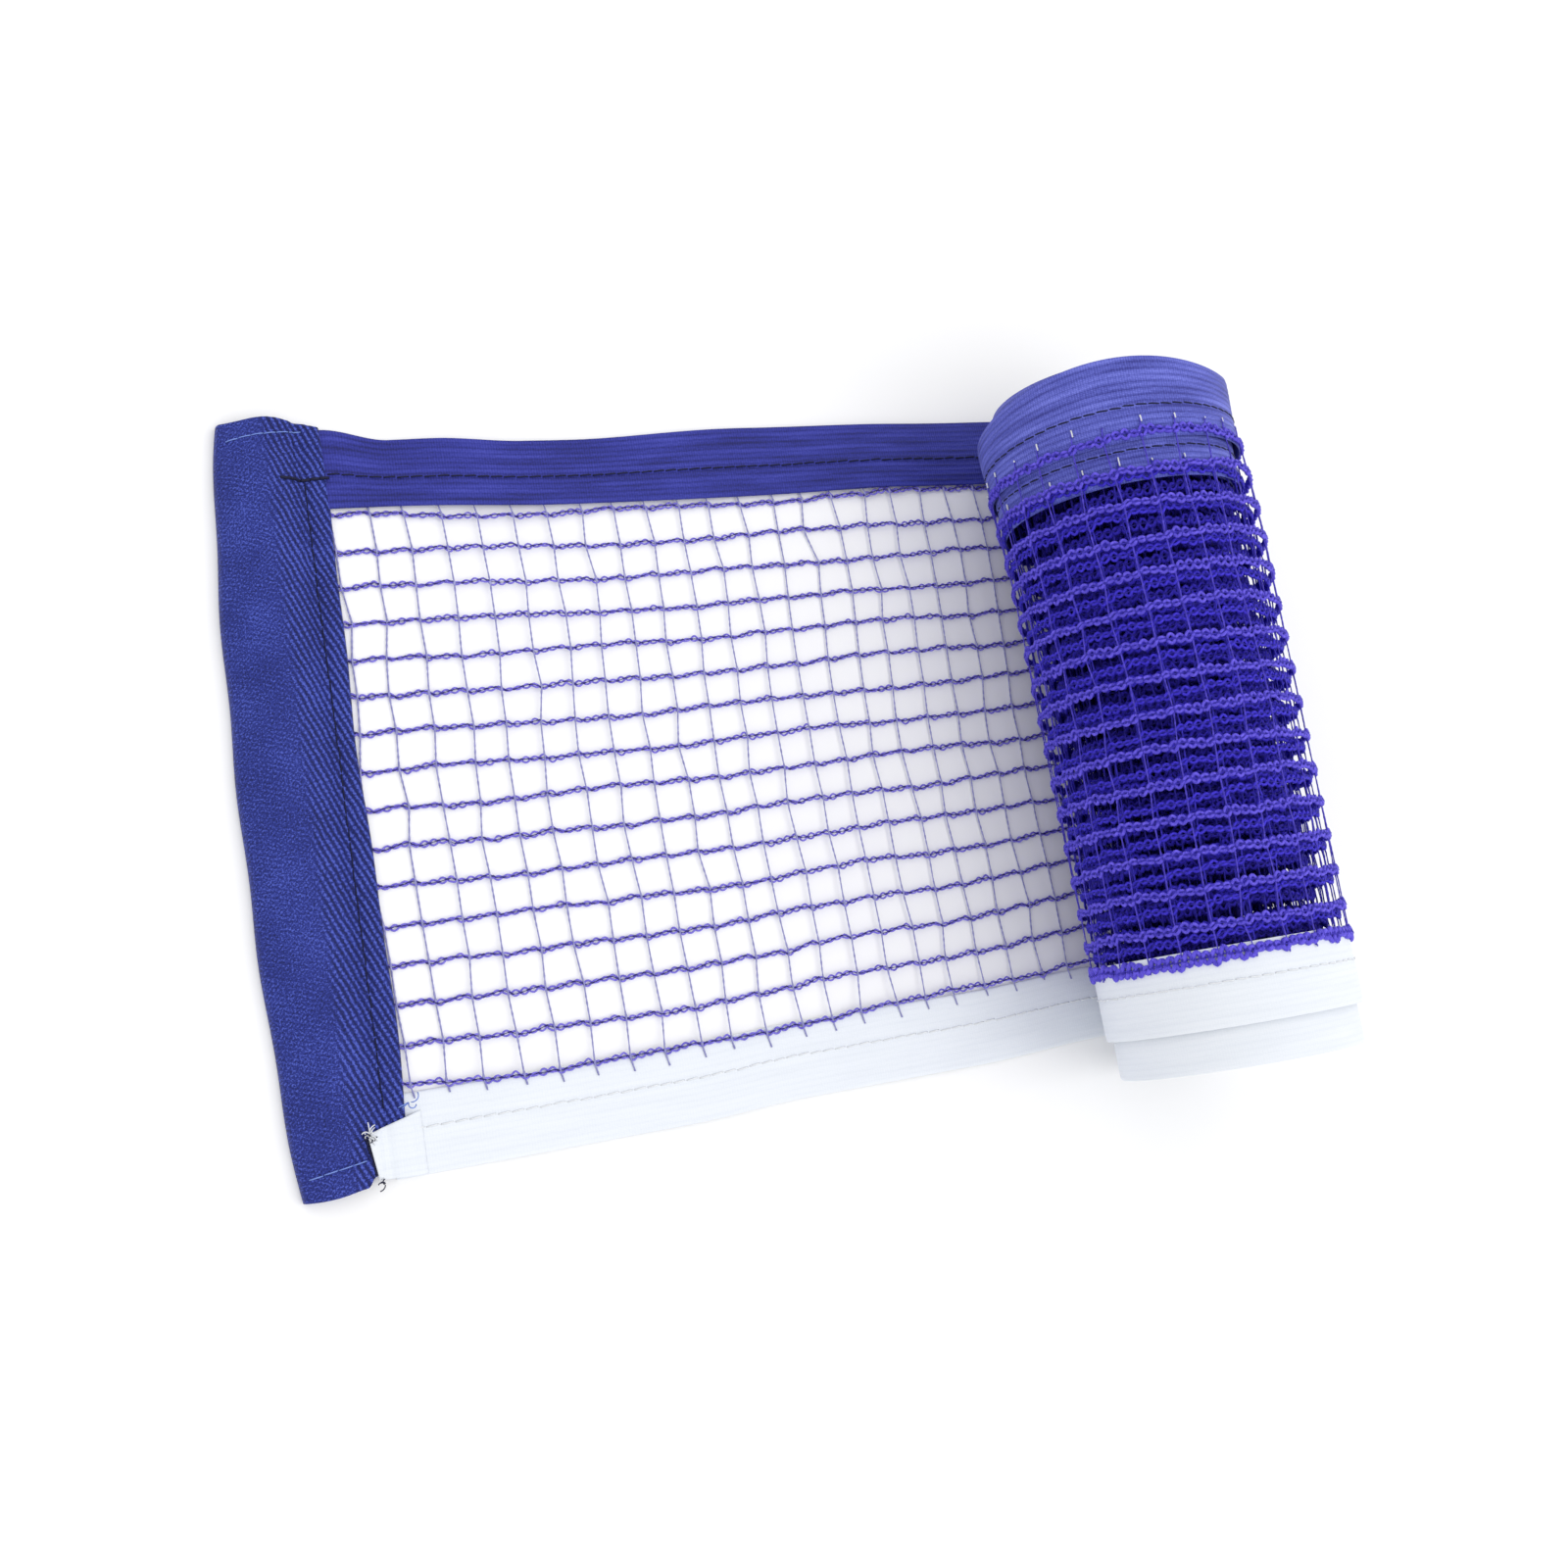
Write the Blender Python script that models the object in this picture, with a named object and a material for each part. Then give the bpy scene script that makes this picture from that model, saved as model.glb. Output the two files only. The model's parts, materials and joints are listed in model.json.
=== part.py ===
"""A table tennis net, partly unrolled on a table.

The net is one long strip: a knitted mesh with a blue band along its upper long edge, a white
tape along its lower one, and a twill sleeve at each end that takes the post of a net clamp.
The left part lies flat, the rest is wound into a roll that stands on the run like a rolled
carpet, so the roll shows the back of the cloth.

Cloth frame: x runs along the net from the left sleeve's inner edge, y runs across it from the
lowest row of the mesh, z is up from the table. Every shape is described in it, and the whole
is then moved so that the origin is the centre of the object's footprint.

The cloth bends at three hinges about Y. Their pieces hang on empties that stand on the axes:
roll (the root) - inner run - outer run - left end sleeve.
"""

import math

import bpy
from mathutils import Vector

# ---------------------------------------------------------------- driving dimensions, metres
CELL_WIDTH = 0.0072
CELL_HEIGHT = 0.0075
MESH_ROWS = 16                  # knitted rows, one cell apart
ROW_THICKNESS = 0.0013
UPRIGHT_THICKNESS = 0.0005
UPPER_TAIL = 0.004              # uprights sewn behind the band, above the top row
LOWER_TAIL = 0.0025             # uprights sewn over the tape, below the bottom row

NETTING_THICKNESS = 0.00035
TAPE_THICKNESS = 0.00045
SKIN_GAP = 0.0003               # clearance between layers that touch on the real net
THREAD_THICKNESS = 0.0003
THREAD_WIDTH = 0.0006

TAPE_HEIGHT = 0.0155            # the white tape
BAND_HEIGHT = 0.0155            # the blue band
EDGE_LAP = 0.0003               # the tape reaches this far above the lowest row's centre
BAND_CLEARANCE = 0.0007         # the band stops this far above the top row's centre
TAPE_SEAM_DROP = 0.0068         # tape seam below the tape's upper edge
BAND_SEAM_RISE = 0.0066         # band seam above the band's lower edge

SLEEVE_HEIGHT = 0.152
SLEEVE_WIDTH = 0.0236
SLEEVE_BOW = 0.0038             # how much narrower the sleeve is at its two ends
SLEEVE_WALL = 0.0008
SLEEVE_PUFF = 0.0072            # height of the pocket where it stands open
SEAM_STRIP = 0.0045             # flat sewn strip along the sleeve's inner edge
STRIP_THICKNESS = 0.0011
SEAM_INSET = 0.0036             # the seam's stitching from the sleeve's inner edge
HOLE_EDGE = 0.00136             # height of the pocket's hole at its two edges
HEM_INSET = 0.004               # hem stitching from the sleeve's end
TACK_LENGTH = 0.0085
TAB_LENGTH = 0.0083             # the tape's end, laid over the sleeve
TAB_HEIGHT = 0.0096
ARCH_FULLNESS = 0.6             # below 1 the pocket's arch is fuller than half a sine wave
ARCH_POINTS = 12
SLEEVE_STATIONS = 15
DRAPE_POINTS = 8

FOLD_COLUMNS = 9.5              # outer run, in cells
TUCK_COLUMNS = 19.0             # outer and inner run, in cells
HINGE_GAP = 0.0008              # bare cloth on each side of a hinge's axis
THREAD_SETBACK = 0.0015         # stitching stops this much further from the axis

ROLL_X = 0.1638                 # where the roll touches the table
ROLL_RADIUS = 0.028
WRAP_PITCH = 0.0014
CORE_RADIUS = 0.0062
STEPS_PER_TURN = 20
CORE_STEPS = 13                 # the right sleeve's width, wound at the core

# The wound cloth has slipped along the roll, less or more from turn to turn.
OUTER_SHIFT = -0.0035
INNER_SHIFT = -0.0115
DEEP_SHIFT = -0.0065
MESH_DRAW = 0.0062              # the outer turns' mesh is drawn together by this much
OUTER_TURNS = (0.0, 0.3)        # where, in turns, each shift sets in and is reached
INNER_TURNS = (0.95, 1.25)
DEEP_TURNS = (2.6, 3.4)
SEAM_STEPS = (2, STEPS_PER_TURN - 2)

# ---------------------------------------------------------------- worked out from them
MESH_HEIGHT = (MESH_ROWS - 1) * CELL_HEIGHT
TAPE_TOP = EDGE_LAP
TAPE_BOTTOM = TAPE_TOP - TAPE_HEIGHT
BAND_BOTTOM = MESH_HEIGHT + BAND_CLEARANCE
BAND_TOP = BAND_BOTTOM + BAND_HEIGHT
NETTING_BOTTOM = -LOWER_TAIL
NETTING_TOP = MESH_HEIGHT + UPPER_TAIL
TAPE_SEAM_Y = TAPE_TOP - TAPE_SEAM_DROP
BAND_SEAM_Y = BAND_BOTTOM + BAND_SEAM_RISE

NETTING_LIFT = TAPE_THICKNESS + SKIN_GAP        # the netting lies on the tape ...
BAND_LIFT = NETTING_THICKNESS + SKIN_GAP        # ... and under the band
BAND_SEAM_Z = BAND_LIFT + TAPE_THICKNESS + SKIN_GAP
TAPE_SEAM_Z = TAPE_THICKNESS + SKIN_GAP
CLOTH_MIDDLE = (BAND_LIFT + TAPE_THICKNESS) / 2

NET_MIDDLE = (TAPE_BOTTOM + BAND_TOP) / 2
SLEEVE_BOTTOM = NET_MIDDLE - SLEEVE_HEIGHT / 2
SLEEVE_TOP = NET_MIDDLE + SLEEVE_HEIGHT / 2
SLEEVE_LEFT = -SLEEVE_WIDTH
SLEEVE_RIGHT = -HINGE_GAP
STRIP_LEFT = SLEEVE_RIGHT - SEAM_STRIP
SEAM_X = SLEEVE_RIGHT - SEAM_INSET

FOLD_X = FOLD_COLUMNS * CELL_WIDTH
TUCK_X = TUCK_COLUMNS * CELL_WIDTH

FULL_TURN = 2 * math.pi
STEP = FULL_TURN / STEPS_PER_TURN
WOUND_STEPS = int((ROLL_RADIUS - CORE_RADIUS) / WRAP_PITCH * STEPS_PER_TURN)


def smoothstep(value, low, high):
    """0 below low, 1 above high, with a smooth rise between them."""
    t = min(max((value - low) / (high - low), 0.0), 1.0)
    return t * t * (3 - 2 * t)


def wound_radius(angle):
    """Outer face of the wound cloth, angle counted from where the roll touches the table."""
    return ROLL_RADIUS - WRAP_PITCH * angle / FULL_TURN


def wound_y(angle, y):
    """Where the wound cloth's y lands on the roll."""
    turns = angle / FULL_TURN
    outer = smoothstep(turns, *OUTER_TURNS)
    inner = smoothstep(turns, *INNER_TURNS)
    deep = smoothstep(turns, *DEEP_TURNS)
    shift = (OUTER_SHIFT * outer + (INNER_SHIFT - OUTER_SHIFT) * inner
             + (DEEP_SHIFT - INNER_SHIFT) * deep)
    up_the_mesh = min(max(y / MESH_HEIGHT, 0.0), 1.0)
    return y + shift - MESH_DRAW * (outer - deep) * up_the_mesh


# The object's footprint, for the origin.
ROLL_RIGHT = ROLL_X + wound_radius(FULL_TURN / 4) + SKIN_GAP + THREAD_THICKNESS
FOOT_LOW = min(SLEEVE_BOTTOM + DEEP_SHIFT, TAPE_BOTTOM + INNER_SHIFT)
CENTRE = Vector(((SLEEVE_LEFT + ROLL_RIGHT) / 2, (FOOT_LOW + SLEEVE_TOP) / 2, 0.0))

# ---------------------------------------------------------------- colours, linear RGB
NAVY_TWILL = (0.022, 0.045, 0.27)
BAND_BLUE = (0.045, 0.052, 0.36)
TAPE_WHITE = (0.80, 0.84, 0.86)
MESH_VIOLET = (0.085, 0.055, 0.48)
DARK_THREAD = (0.008, 0.010, 0.06)
PALE_THREAD = (0.62, 0.64, 0.66)
HEM_THREAD = (0.16, 0.24, 0.58)


# ---------------------------------------------------------------- scene helpers
def clear_scene():
    for thing in list(bpy.data.objects):
        bpy.data.objects.remove(thing, do_unlink=True)


def material(name, colour, roughness):
    made = bpy.data.materials.new(name)
    made.use_nodes = True
    shader = made.node_tree.nodes["Principled BSDF"]
    shader.inputs["Base Color"].default_value = (*colour, 1.0)
    shader.inputs["Roughness"].default_value = roughness
    shader.inputs["Metallic"].default_value = 0.0
    return made


def body_empty(name, x, z, parent=None):
    """An empty on a hinge's axis; the pieces of the body that turns there hang on it."""
    empty = bpy.data.objects.new(name, None)
    empty.empty_display_size = 0.02
    bpy.context.scene.collection.objects.link(empty)
    empty["axis_point"] = (x, NET_MIDDLE, z)
    here = Vector((x, NET_MIDDLE, z))
    if parent is None:
        empty.location = here - CENTRE
    else:
        empty.parent = parent
        empty.location = here - Vector(parent["axis_point"])
    return empty


def add_piece(name, verts, faces, look, body, smooth=False):
    """A closed solid given in the cloth frame, hung on its body's empty."""
    origin = Vector(body["axis_point"])
    mesh = bpy.data.meshes.new(name)
    mesh.from_pydata([Vector(v) - origin for v in verts], [], faces)
    mesh.validate()
    mesh.materials.append(look)
    if smooth:
        mesh.shade_smooth()
        mesh.set_sharp_from_angle(angle=math.radians(40))
    piece = bpy.data.objects.new(name, mesh)
    piece.parent = body
    bpy.context.scene.collection.objects.link(piece)
    return piece


# ---------------------------------------------------------------- shapes
def strip_solid(stations):
    """A solid swept through stations, rings with the same number of points."""
    verts = [point for ring in stations for point in ring]
    count = len(stations[0])
    faces = []
    for i in range(len(stations) - 1):
        here = i * count
        there = here + count
        for k in range(count):
            after = (k + 1) % count
            faces.append((here + k, here + after, there + after, there + k))
    last = (len(stations) - 1) * count
    faces.append(tuple(range(count - 1, -1, -1)))
    faces.append(tuple(last + k for k in range(count)))
    return verts, faces


def flat_strip(x0, x1, y0, y1, z0, thickness):
    """A flat strip of cloth along X."""
    z1 = z0 + thickness
    return strip_solid([[(x, y0, z0), (x, y1, z0), (x, y1, z1), (x, y0, z1)] for x in (x0, x1)])


def netting_z(y):
    """The netting's lower face: on the tape at its lower edge, on the table at its upper one."""
    return NETTING_LIFT * (NETTING_TOP - y) / (NETTING_TOP - NETTING_BOTTOM)


def lattice(x0, x1):
    """The open mesh between x0 and x1: bars along both directions, one closed body."""
    half = UPRIGHT_THICKNESS / 2
    first = math.ceil((x0 + half) / CELL_WIDTH)
    final = math.floor((x1 - half) / CELL_WIDTH)
    uprights = [i * CELL_WIDTH for i in range(first, final + 1)]
    rows = [j * CELL_HEIGHT for j in range(MESH_ROWS)]
    xs = [x0]
    for x in uprights:
        xs += [x - half, x + half]
    xs.append(x1)
    ys = [NETTING_BOTTOM]
    for y in rows:
        ys += [y - ROW_THICKNESS / 2, y + ROW_THICKNESS / 2]
    ys.append(NETTING_TOP)

    def filled(i, j):
        """Odd intervals are bars; a square is open only between bars both ways."""
        inside = 0 <= i < len(xs) - 1 and 0 <= j < len(ys) - 1
        return inside and (i % 2 == 1 or j % 2 == 1)

    index = {}
    verts = []

    def corner(i, j, level):
        key = (i, j, level)
        if key not in index:
            index[key] = len(verts)
            verts.append((xs[i], ys[j], netting_z(ys[j]) + level * NETTING_THICKNESS))
        return index[key]

    faces = []
    for i in range(len(xs) - 1):
        for j in range(len(ys) - 1):
            if not filled(i, j):
                continue
            ring = [(i, j), (i + 1, j), (i + 1, j + 1), (i, j + 1)]
            beyond = [(i, j - 1), (i + 1, j), (i, j + 1), (i - 1, j)]
            faces.append([corner(a, b, 1) for a, b in ring])
            faces.append([corner(a, b, 0) for a, b in reversed(ring)])
            for k, (p, q) in enumerate(beyond):
                if filled(p, q):
                    continue
                a, b = ring[k], ring[(k + 1) % 4]
                faces.append([corner(*a, 0), corner(*b, 0), corner(*b, 1), corner(*a, 1)])
    return verts, faces


def wound_point(angle, inset, y):
    """A point on the wound cloth, inset below its outer face."""
    radius = wound_radius(angle) - inset
    x = ROLL_X + radius * math.sin(angle)
    z = ROLL_RADIUS - radius * math.cos(angle)
    return (x, wound_y(angle, y), z)


def wound_strip(first, last, y0, y1, inset0, inset1, thickness):
    """A strip wound from step first to step last; its inset goes from inset0 to inset1."""
    stations = []
    for step in range(first, last + 1):
        angle = step * STEP
        stations.append([
            wound_point(angle, inset0 + thickness, y0),
            wound_point(angle, inset1 + thickness, y1),
            wound_point(angle, inset1, y1),
            wound_point(angle, inset0, y0),
        ])
    verts, faces = strip_solid(stations)
    return verts, [tuple(reversed(face)) for face in faces]


# ---------------------------------------------------------------- the sleeve
def sleeve_left(y):
    """The sleeve's outer edge bows: it is widest at mid height."""
    t = (y - NET_MIDDLE) / (SLEEVE_HEIGHT / 2)
    return SLEEVE_LEFT + SLEEVE_BOW * abs(t) ** 3


def pocket_height(u):
    """Height of the pocket over its width, u from 0 at the fold to 1 at the seam strip."""
    return math.sin(math.pi * u) ** ARCH_FULLNESS


def pocket_profile(left, right, floor, low, high):
    """A flat-bottomed arch in the XZ plane, clockwise seen from -Y, from its right side."""
    ring = [(right, low), (right, floor), (left, floor), (left, low)]
    for k in range(1, ARCH_POINTS):
        u = k / ARCH_POINTS
        ring.append((left + (right - left) * u, low + (high - low) * pocket_height(u)))
    return ring


def end_sleeve():
    """The left sleeve: a flat sewn strip and an open pocket, as one tube along Y."""
    outer_rings = []
    inner_rings = []
    for s in range(SLEEVE_STATIONS):
        y = SLEEVE_BOTTOM + SLEEVE_HEIGHT * s / (SLEEVE_STATIONS - 1)
        left = sleeve_left(y)
        arch = pocket_profile(left, STRIP_LEFT, 0.0, STRIP_THICKNESS, SLEEVE_PUFF)
        ring = [(SLEEVE_RIGHT, STRIP_THICKNESS), (SLEEVE_RIGHT, 0.0)] + arch[2:] + [arch[0]]
        outer_rings.append([(x, y, z) for x, z in ring])
        hole = pocket_profile(left + SLEEVE_WALL, STRIP_LEFT - SLEEVE_WALL, SLEEVE_WALL,
                              HOLE_EDGE, SLEEVE_PUFF - SLEEVE_WALL)
        inner_rings.append([(x, y, z) for x, z in hole])
    return tube(outer_rings, inner_rings)


def tube(outer_rings, inner_rings):
    """A tube from matching outer and inner rings, its two ends closed by flat rims."""
    outer_count = len(outer_rings[0])
    inner_count = len(inner_rings[0])
    verts = [point for ring in outer_rings for point in ring]
    inner_start = len(verts)
    verts += [point for ring in inner_rings for point in ring]
    faces = []
    for s in range(len(outer_rings) - 1):
        for k in range(outer_count):
            after = (k + 1) % outer_count
            here = s * outer_count
            there = here + outer_count
            faces.append((here + k, here + after, there + after, there + k))
        for k in range(inner_count):
            after = (k + 1) % inner_count
            here = inner_start + s * inner_count
            there = here + inner_count
            faces.append((here + k, there + k, there + after, here + after))
    for s in (0, len(outer_rings) - 1):
        rim = rim_faces(outer_rings[s], inner_rings[s], s * outer_count,
                        inner_start + s * inner_count)
        faces += [tuple(reversed(face)) for face in rim] if s == 0 else rim
    return verts, faces


def rim_faces(outer, inner, outer_start, inner_start):
    """Triangles between two rings that start near each other and turn the same way."""
    def progress(ring):
        lengths = [0.0]
        for k in range(len(ring)):
            lengths.append(lengths[-1] + math.dist(ring[k], ring[(k + 1) % len(ring)]))
        return [value / lengths[-1] for value in lengths]

    along_outer = progress(outer)
    along_inner = progress(inner)
    i = 0
    j = 0
    faces = []
    while i < len(outer) or j < len(inner):
        a = outer_start + i % len(outer)
        b = inner_start + j % len(inner)
        step_outer = j >= len(inner) or (i < len(outer) and along_outer[i + 1] <= along_inner[j + 1])
        if step_outer:
            i += 1
            faces.append((a, outer_start + i % len(outer), b))
        else:
            j += 1
            faces.append((a, inner_start + j % len(inner), b))
    return faces


def sleeve_top_z(x, y):
    """Height of the left sleeve's upper face."""
    if x >= STRIP_LEFT:
        return STRIP_THICKNESS
    left = sleeve_left(y)
    u = (x - left) / (STRIP_LEFT - left)
    return STRIP_THICKNESS + (SLEEVE_PUFF - STRIP_THICKNESS) * pocket_height(u)


def draped_on_sleeve(x0, x1, y0, y1, thickness):
    """A strip along X that follows the sleeve's upper face."""
    stations = []
    for k in range(DRAPE_POINTS + 1):
        x = x0 + (x1 - x0) * k / DRAPE_POINTS
        z0 = max(sleeve_top_z(x, y0), sleeve_top_z(x, y1)) + SKIN_GAP
        z1 = z0 + thickness
        stations.append([(x, y0, z0), (x, y1, z0), (x, y1, z1), (x, y0, z1)])
    return strip_solid(stations)


# ---------------------------------------------------------------- the assembly
def build_run(label, x0, x1, body, looks):
    """Netting, band, tape and their two seams between x0 and x1."""
    add_piece(f"netting_{label}", *lattice(x0, x1), looks["netting"], body)
    add_piece(f"blue_band_{label}",
              *flat_strip(x0, x1, BAND_BOTTOM, BAND_TOP, BAND_LIFT, TAPE_THICKNESS),
              looks["band"], body)
    add_piece(f"white_tape_{label}",
              *flat_strip(x0, x1, TAPE_BOTTOM, TAPE_TOP, 0.0, TAPE_THICKNESS),
              looks["tape"], body)
    half = THREAD_WIDTH / 2
    s0 = x0 + THREAD_SETBACK
    s1 = x1 - THREAD_SETBACK
    add_piece(f"band_seam_{label}",
              *flat_strip(s0, s1, BAND_SEAM_Y - half, BAND_SEAM_Y + half, BAND_SEAM_Z,
                          THREAD_THICKNESS),
              looks["dark_thread"], body)
    add_piece(f"tape_seam_{label}",
              *flat_strip(s0, s1, TAPE_SEAM_Y - half, TAPE_SEAM_Y + half, TAPE_SEAM_Z,
                          THREAD_THICKNESS),
              looks["pale_thread"], body)


def build_roll(body, looks):
    """The wound length: three wound strips, the seams on the outer turn, the core sleeve."""
    add_piece("netting_roll",
              *wound_strip(0, WOUND_STEPS, NETTING_BOTTOM, NETTING_TOP, NETTING_LIFT, 0.0,
                           NETTING_THICKNESS),
              looks["netting"], body, smooth=True)
    add_piece("blue_band_roll",
              *wound_strip(0, WOUND_STEPS, BAND_BOTTOM, BAND_TOP, BAND_LIFT, BAND_LIFT,
                           TAPE_THICKNESS),
              looks["band"], body, smooth=True)
    add_piece("white_tape_roll",
              *wound_strip(0, WOUND_STEPS, TAPE_BOTTOM, TAPE_TOP, 0.0, 0.0, TAPE_THICKNESS),
              looks["tape"], body, smooth=True)

    half = THREAD_WIDTH / 2
    outside = -SKIN_GAP - THREAD_THICKNESS
    add_piece("band_seam_roll",
              *wound_strip(*SEAM_STEPS, BAND_SEAM_Y - half, BAND_SEAM_Y + half,
                           BAND_LIFT + outside, BAND_LIFT + outside, THREAD_THICKNESS),
              looks["dark_thread"], body, smooth=True)
    add_piece("tape_seam_roll",
              *wound_strip(*SEAM_STEPS, TAPE_SEAM_Y - half, TAPE_SEAM_Y + half,
                           outside, outside, THREAD_THICKNESS),
              looks["pale_thread"], body, smooth=True)

    core_first = WOUND_STEPS + 1
    core_last = core_first + CORE_STEPS
    add_piece("right_end_sleeve",
              *wound_strip(core_first, core_last, SLEEVE_BOTTOM, SLEEVE_TOP, 0.0, 0.0,
                           STRIP_THICKNESS),
              looks["twill"], body, smooth=True)
    for label, y in (("lower", SLEEVE_BOTTOM + HEM_INSET), ("upper", SLEEVE_TOP - HEM_INSET)):
        add_piece(f"right_hem_thread_{label}",
                  *wound_strip(core_first, core_last, y - half, y + half,
                               STRIP_THICKNESS + SKIN_GAP, STRIP_THICKNESS + SKIN_GAP,
                               THREAD_THICKNESS),
                  looks["hem_thread"], body, smooth=True)


def build_left_sleeve(body, looks):
    """The left sleeve, its seam and hems, the bar tack and the tape's end laid over it."""
    add_piece("left_end_sleeve", *end_sleeve(), looks["twill"], body, smooth=True)
    half = THREAD_WIDTH / 2
    tab_top = TAPE_BOTTOM + TAB_HEIGHT
    add_piece("left_sleeve_seam",
              *flat_strip(SEAM_X - half, SEAM_X + half, tab_top + SKIN_GAP * 2,
                          BAND_SEAM_Y - THREAD_WIDTH, STRIP_THICKNESS + SKIN_GAP, THREAD_THICKNESS),
              looks["dark_thread"], body)

    for label, y in (("lower", SLEEVE_BOTTOM + HEM_INSET), ("upper", SLEEVE_TOP - HEM_INSET)):
        x0 = sleeve_left(y) + SEAM_STRIP
        x1 = SLEEVE_RIGHT - (TAB_LENGTH + SKIN_GAP * 2 if label == "lower" else half)
        add_piece(f"left_hem_thread_{label}",
                  *draped_on_sleeve(x0, x1, y - half, y + half, THREAD_THICKNESS),
                  looks["hem_thread"], body)

    add_piece("bar_tack",
              *draped_on_sleeve(SLEEVE_RIGHT - TACK_LENGTH, SLEEVE_RIGHT - half,
                                BAND_SEAM_Y - half, BAND_SEAM_Y + half, THREAD_THICKNESS),
              looks["dark_thread"], body)
    add_piece("white_tape_end_tab",
              *draped_on_sleeve(SLEEVE_RIGHT - TAB_LENGTH, SLEEVE_RIGHT, TAPE_BOTTOM, tab_top,
                                TAPE_THICKNESS),
              looks["tape"], body)


def build():
    clear_scene()
    looks = {
        "twill": material("twill", NAVY_TWILL, 0.75),
        "band": material("band", BAND_BLUE, 0.62),
        "tape": material("tape", TAPE_WHITE, 0.7),
        "netting": material("netting", MESH_VIOLET, 0.5),
        "dark_thread": material("dark_thread", DARK_THREAD, 0.6),
        "pale_thread": material("pale_thread", PALE_THREAD, 0.6),
        "hem_thread": material("hem_thread", HEM_THREAD, 0.55),
    }
    roll = body_empty("roll", ROLL_X, ROLL_RADIUS)
    inner_run = body_empty("inner_run", TUCK_X, CLOTH_MIDDLE, roll)
    outer_run = body_empty("outer_run", FOLD_X, CLOTH_MIDDLE, inner_run)
    sleeve = body_empty("end_sleeve", 0.0, CLOTH_MIDDLE, outer_run)

    build_roll(roll, looks)
    build_run("lead_in", TUCK_X + HINGE_GAP, ROLL_X - SKIN_GAP, roll, looks)
    build_run("inner", FOLD_X + HINGE_GAP, TUCK_X - HINGE_GAP, inner_run, looks)
    build_run("outer", HINGE_GAP, FOLD_X - HINGE_GAP, outer_run, looks)
    build_left_sleeve(sleeve, looks)
    bpy.context.view_layer.update()


build()
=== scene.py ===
"""The looks of a partly unrolled table tennis net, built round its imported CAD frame.

Every soft piece is made in cloth coordinates and laid on the table or wound into the roll by
one function, on_cloth(): s runs along the net from the left sleeve's inner edge, y across it
from the lowest knitted row, and h is the height above the face that lies on the table. All
three are in metres, and the places come from the frame.
"""

import json
import math

import bpy
import numpy as np
from mathutils import Matrix, Vector


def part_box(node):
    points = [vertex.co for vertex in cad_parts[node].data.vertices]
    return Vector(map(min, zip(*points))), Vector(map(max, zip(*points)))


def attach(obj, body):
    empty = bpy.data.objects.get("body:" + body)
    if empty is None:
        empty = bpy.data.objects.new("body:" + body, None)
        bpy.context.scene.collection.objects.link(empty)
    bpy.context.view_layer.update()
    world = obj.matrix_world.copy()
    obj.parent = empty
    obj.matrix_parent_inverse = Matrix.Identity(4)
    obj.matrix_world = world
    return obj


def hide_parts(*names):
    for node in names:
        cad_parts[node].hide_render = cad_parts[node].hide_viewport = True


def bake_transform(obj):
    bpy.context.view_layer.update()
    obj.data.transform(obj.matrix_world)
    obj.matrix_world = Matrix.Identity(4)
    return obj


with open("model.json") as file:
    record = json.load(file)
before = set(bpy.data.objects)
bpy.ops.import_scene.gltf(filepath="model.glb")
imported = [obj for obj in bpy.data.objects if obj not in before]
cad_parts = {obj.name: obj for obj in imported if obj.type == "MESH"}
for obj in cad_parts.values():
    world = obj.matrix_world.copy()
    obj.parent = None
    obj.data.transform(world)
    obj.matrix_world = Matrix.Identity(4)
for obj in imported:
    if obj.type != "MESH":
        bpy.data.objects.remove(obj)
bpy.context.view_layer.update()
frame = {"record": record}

MM = 0.001
TURN = 2 * math.pi
RNG = np.random.default_rng(1926)


def joint_x(name):
    """World x of a hinge's axis."""
    return next(j["pos_m"][0] for j in frame["record"]["behaviour"]["joints"] if j["name"] == name)


# ------------------------------------------------------------------ places, from the frame
SLEEVE_X = joint_x("sleeve_fold")
FOLD_S = joint_x("run_fold") - SLEEVE_X
TUCK_S = joint_x("roll_tuck") - SLEEVE_X
TAPE_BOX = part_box("white_tape_lead_in")
BAND_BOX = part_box("blue_band_lead_in")
ROLL_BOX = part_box("white_tape_roll")
SLEEVE_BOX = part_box("left_end_sleeve")

EDGE_LAP = 0.3 * MM             # the tape's upper edge above the lowest row's centre
ROW_Y = TAPE_BOX[1][1] - EDGE_LAP
TAPE_LOW = TAPE_BOX[0][1] - ROW_Y
TAPE_HIGH = TAPE_BOX[1][1] - ROW_Y
BAND_LOW = BAND_BOX[0][1] - ROW_Y
BAND_HIGH = BAND_BOX[1][1] - ROW_Y
SLEEVE_LEFT = SLEEVE_BOX[0][0] - SLEEVE_X
SLEEVE_LOW = SLEEVE_BOX[0][1] - ROW_Y
SLEEVE_HIGH = SLEEVE_BOX[1][1] - ROW_Y
SLEEVE_MIDDLE = (SLEEVE_LOW + SLEEVE_HIGH) / 2
SLEEVE_PUFF = SLEEVE_BOX[1][2]
CLOTH_ORIGIN = np.array([SLEEVE_X, ROW_Y, 0.0])

# ------------------------------------------------------------------ the cloth's make-up
CELL_W = 7.2 * MM
CELL_H = 7.5 * MM
ROWS = 16
MESH_HIGH = (ROWS - 1) * CELL_H
WRAP_PITCH = 1.4 * MM
ROLL_S = TAPE_BOX[1][0] + 0.3 * MM - SLEEVE_X
ROLL_R = (ROLL_BOX[1][2] + WRAP_PITCH / 2) / 2
WOUND_TURNS = 15.5
CORE_TURN = 0.65

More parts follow.
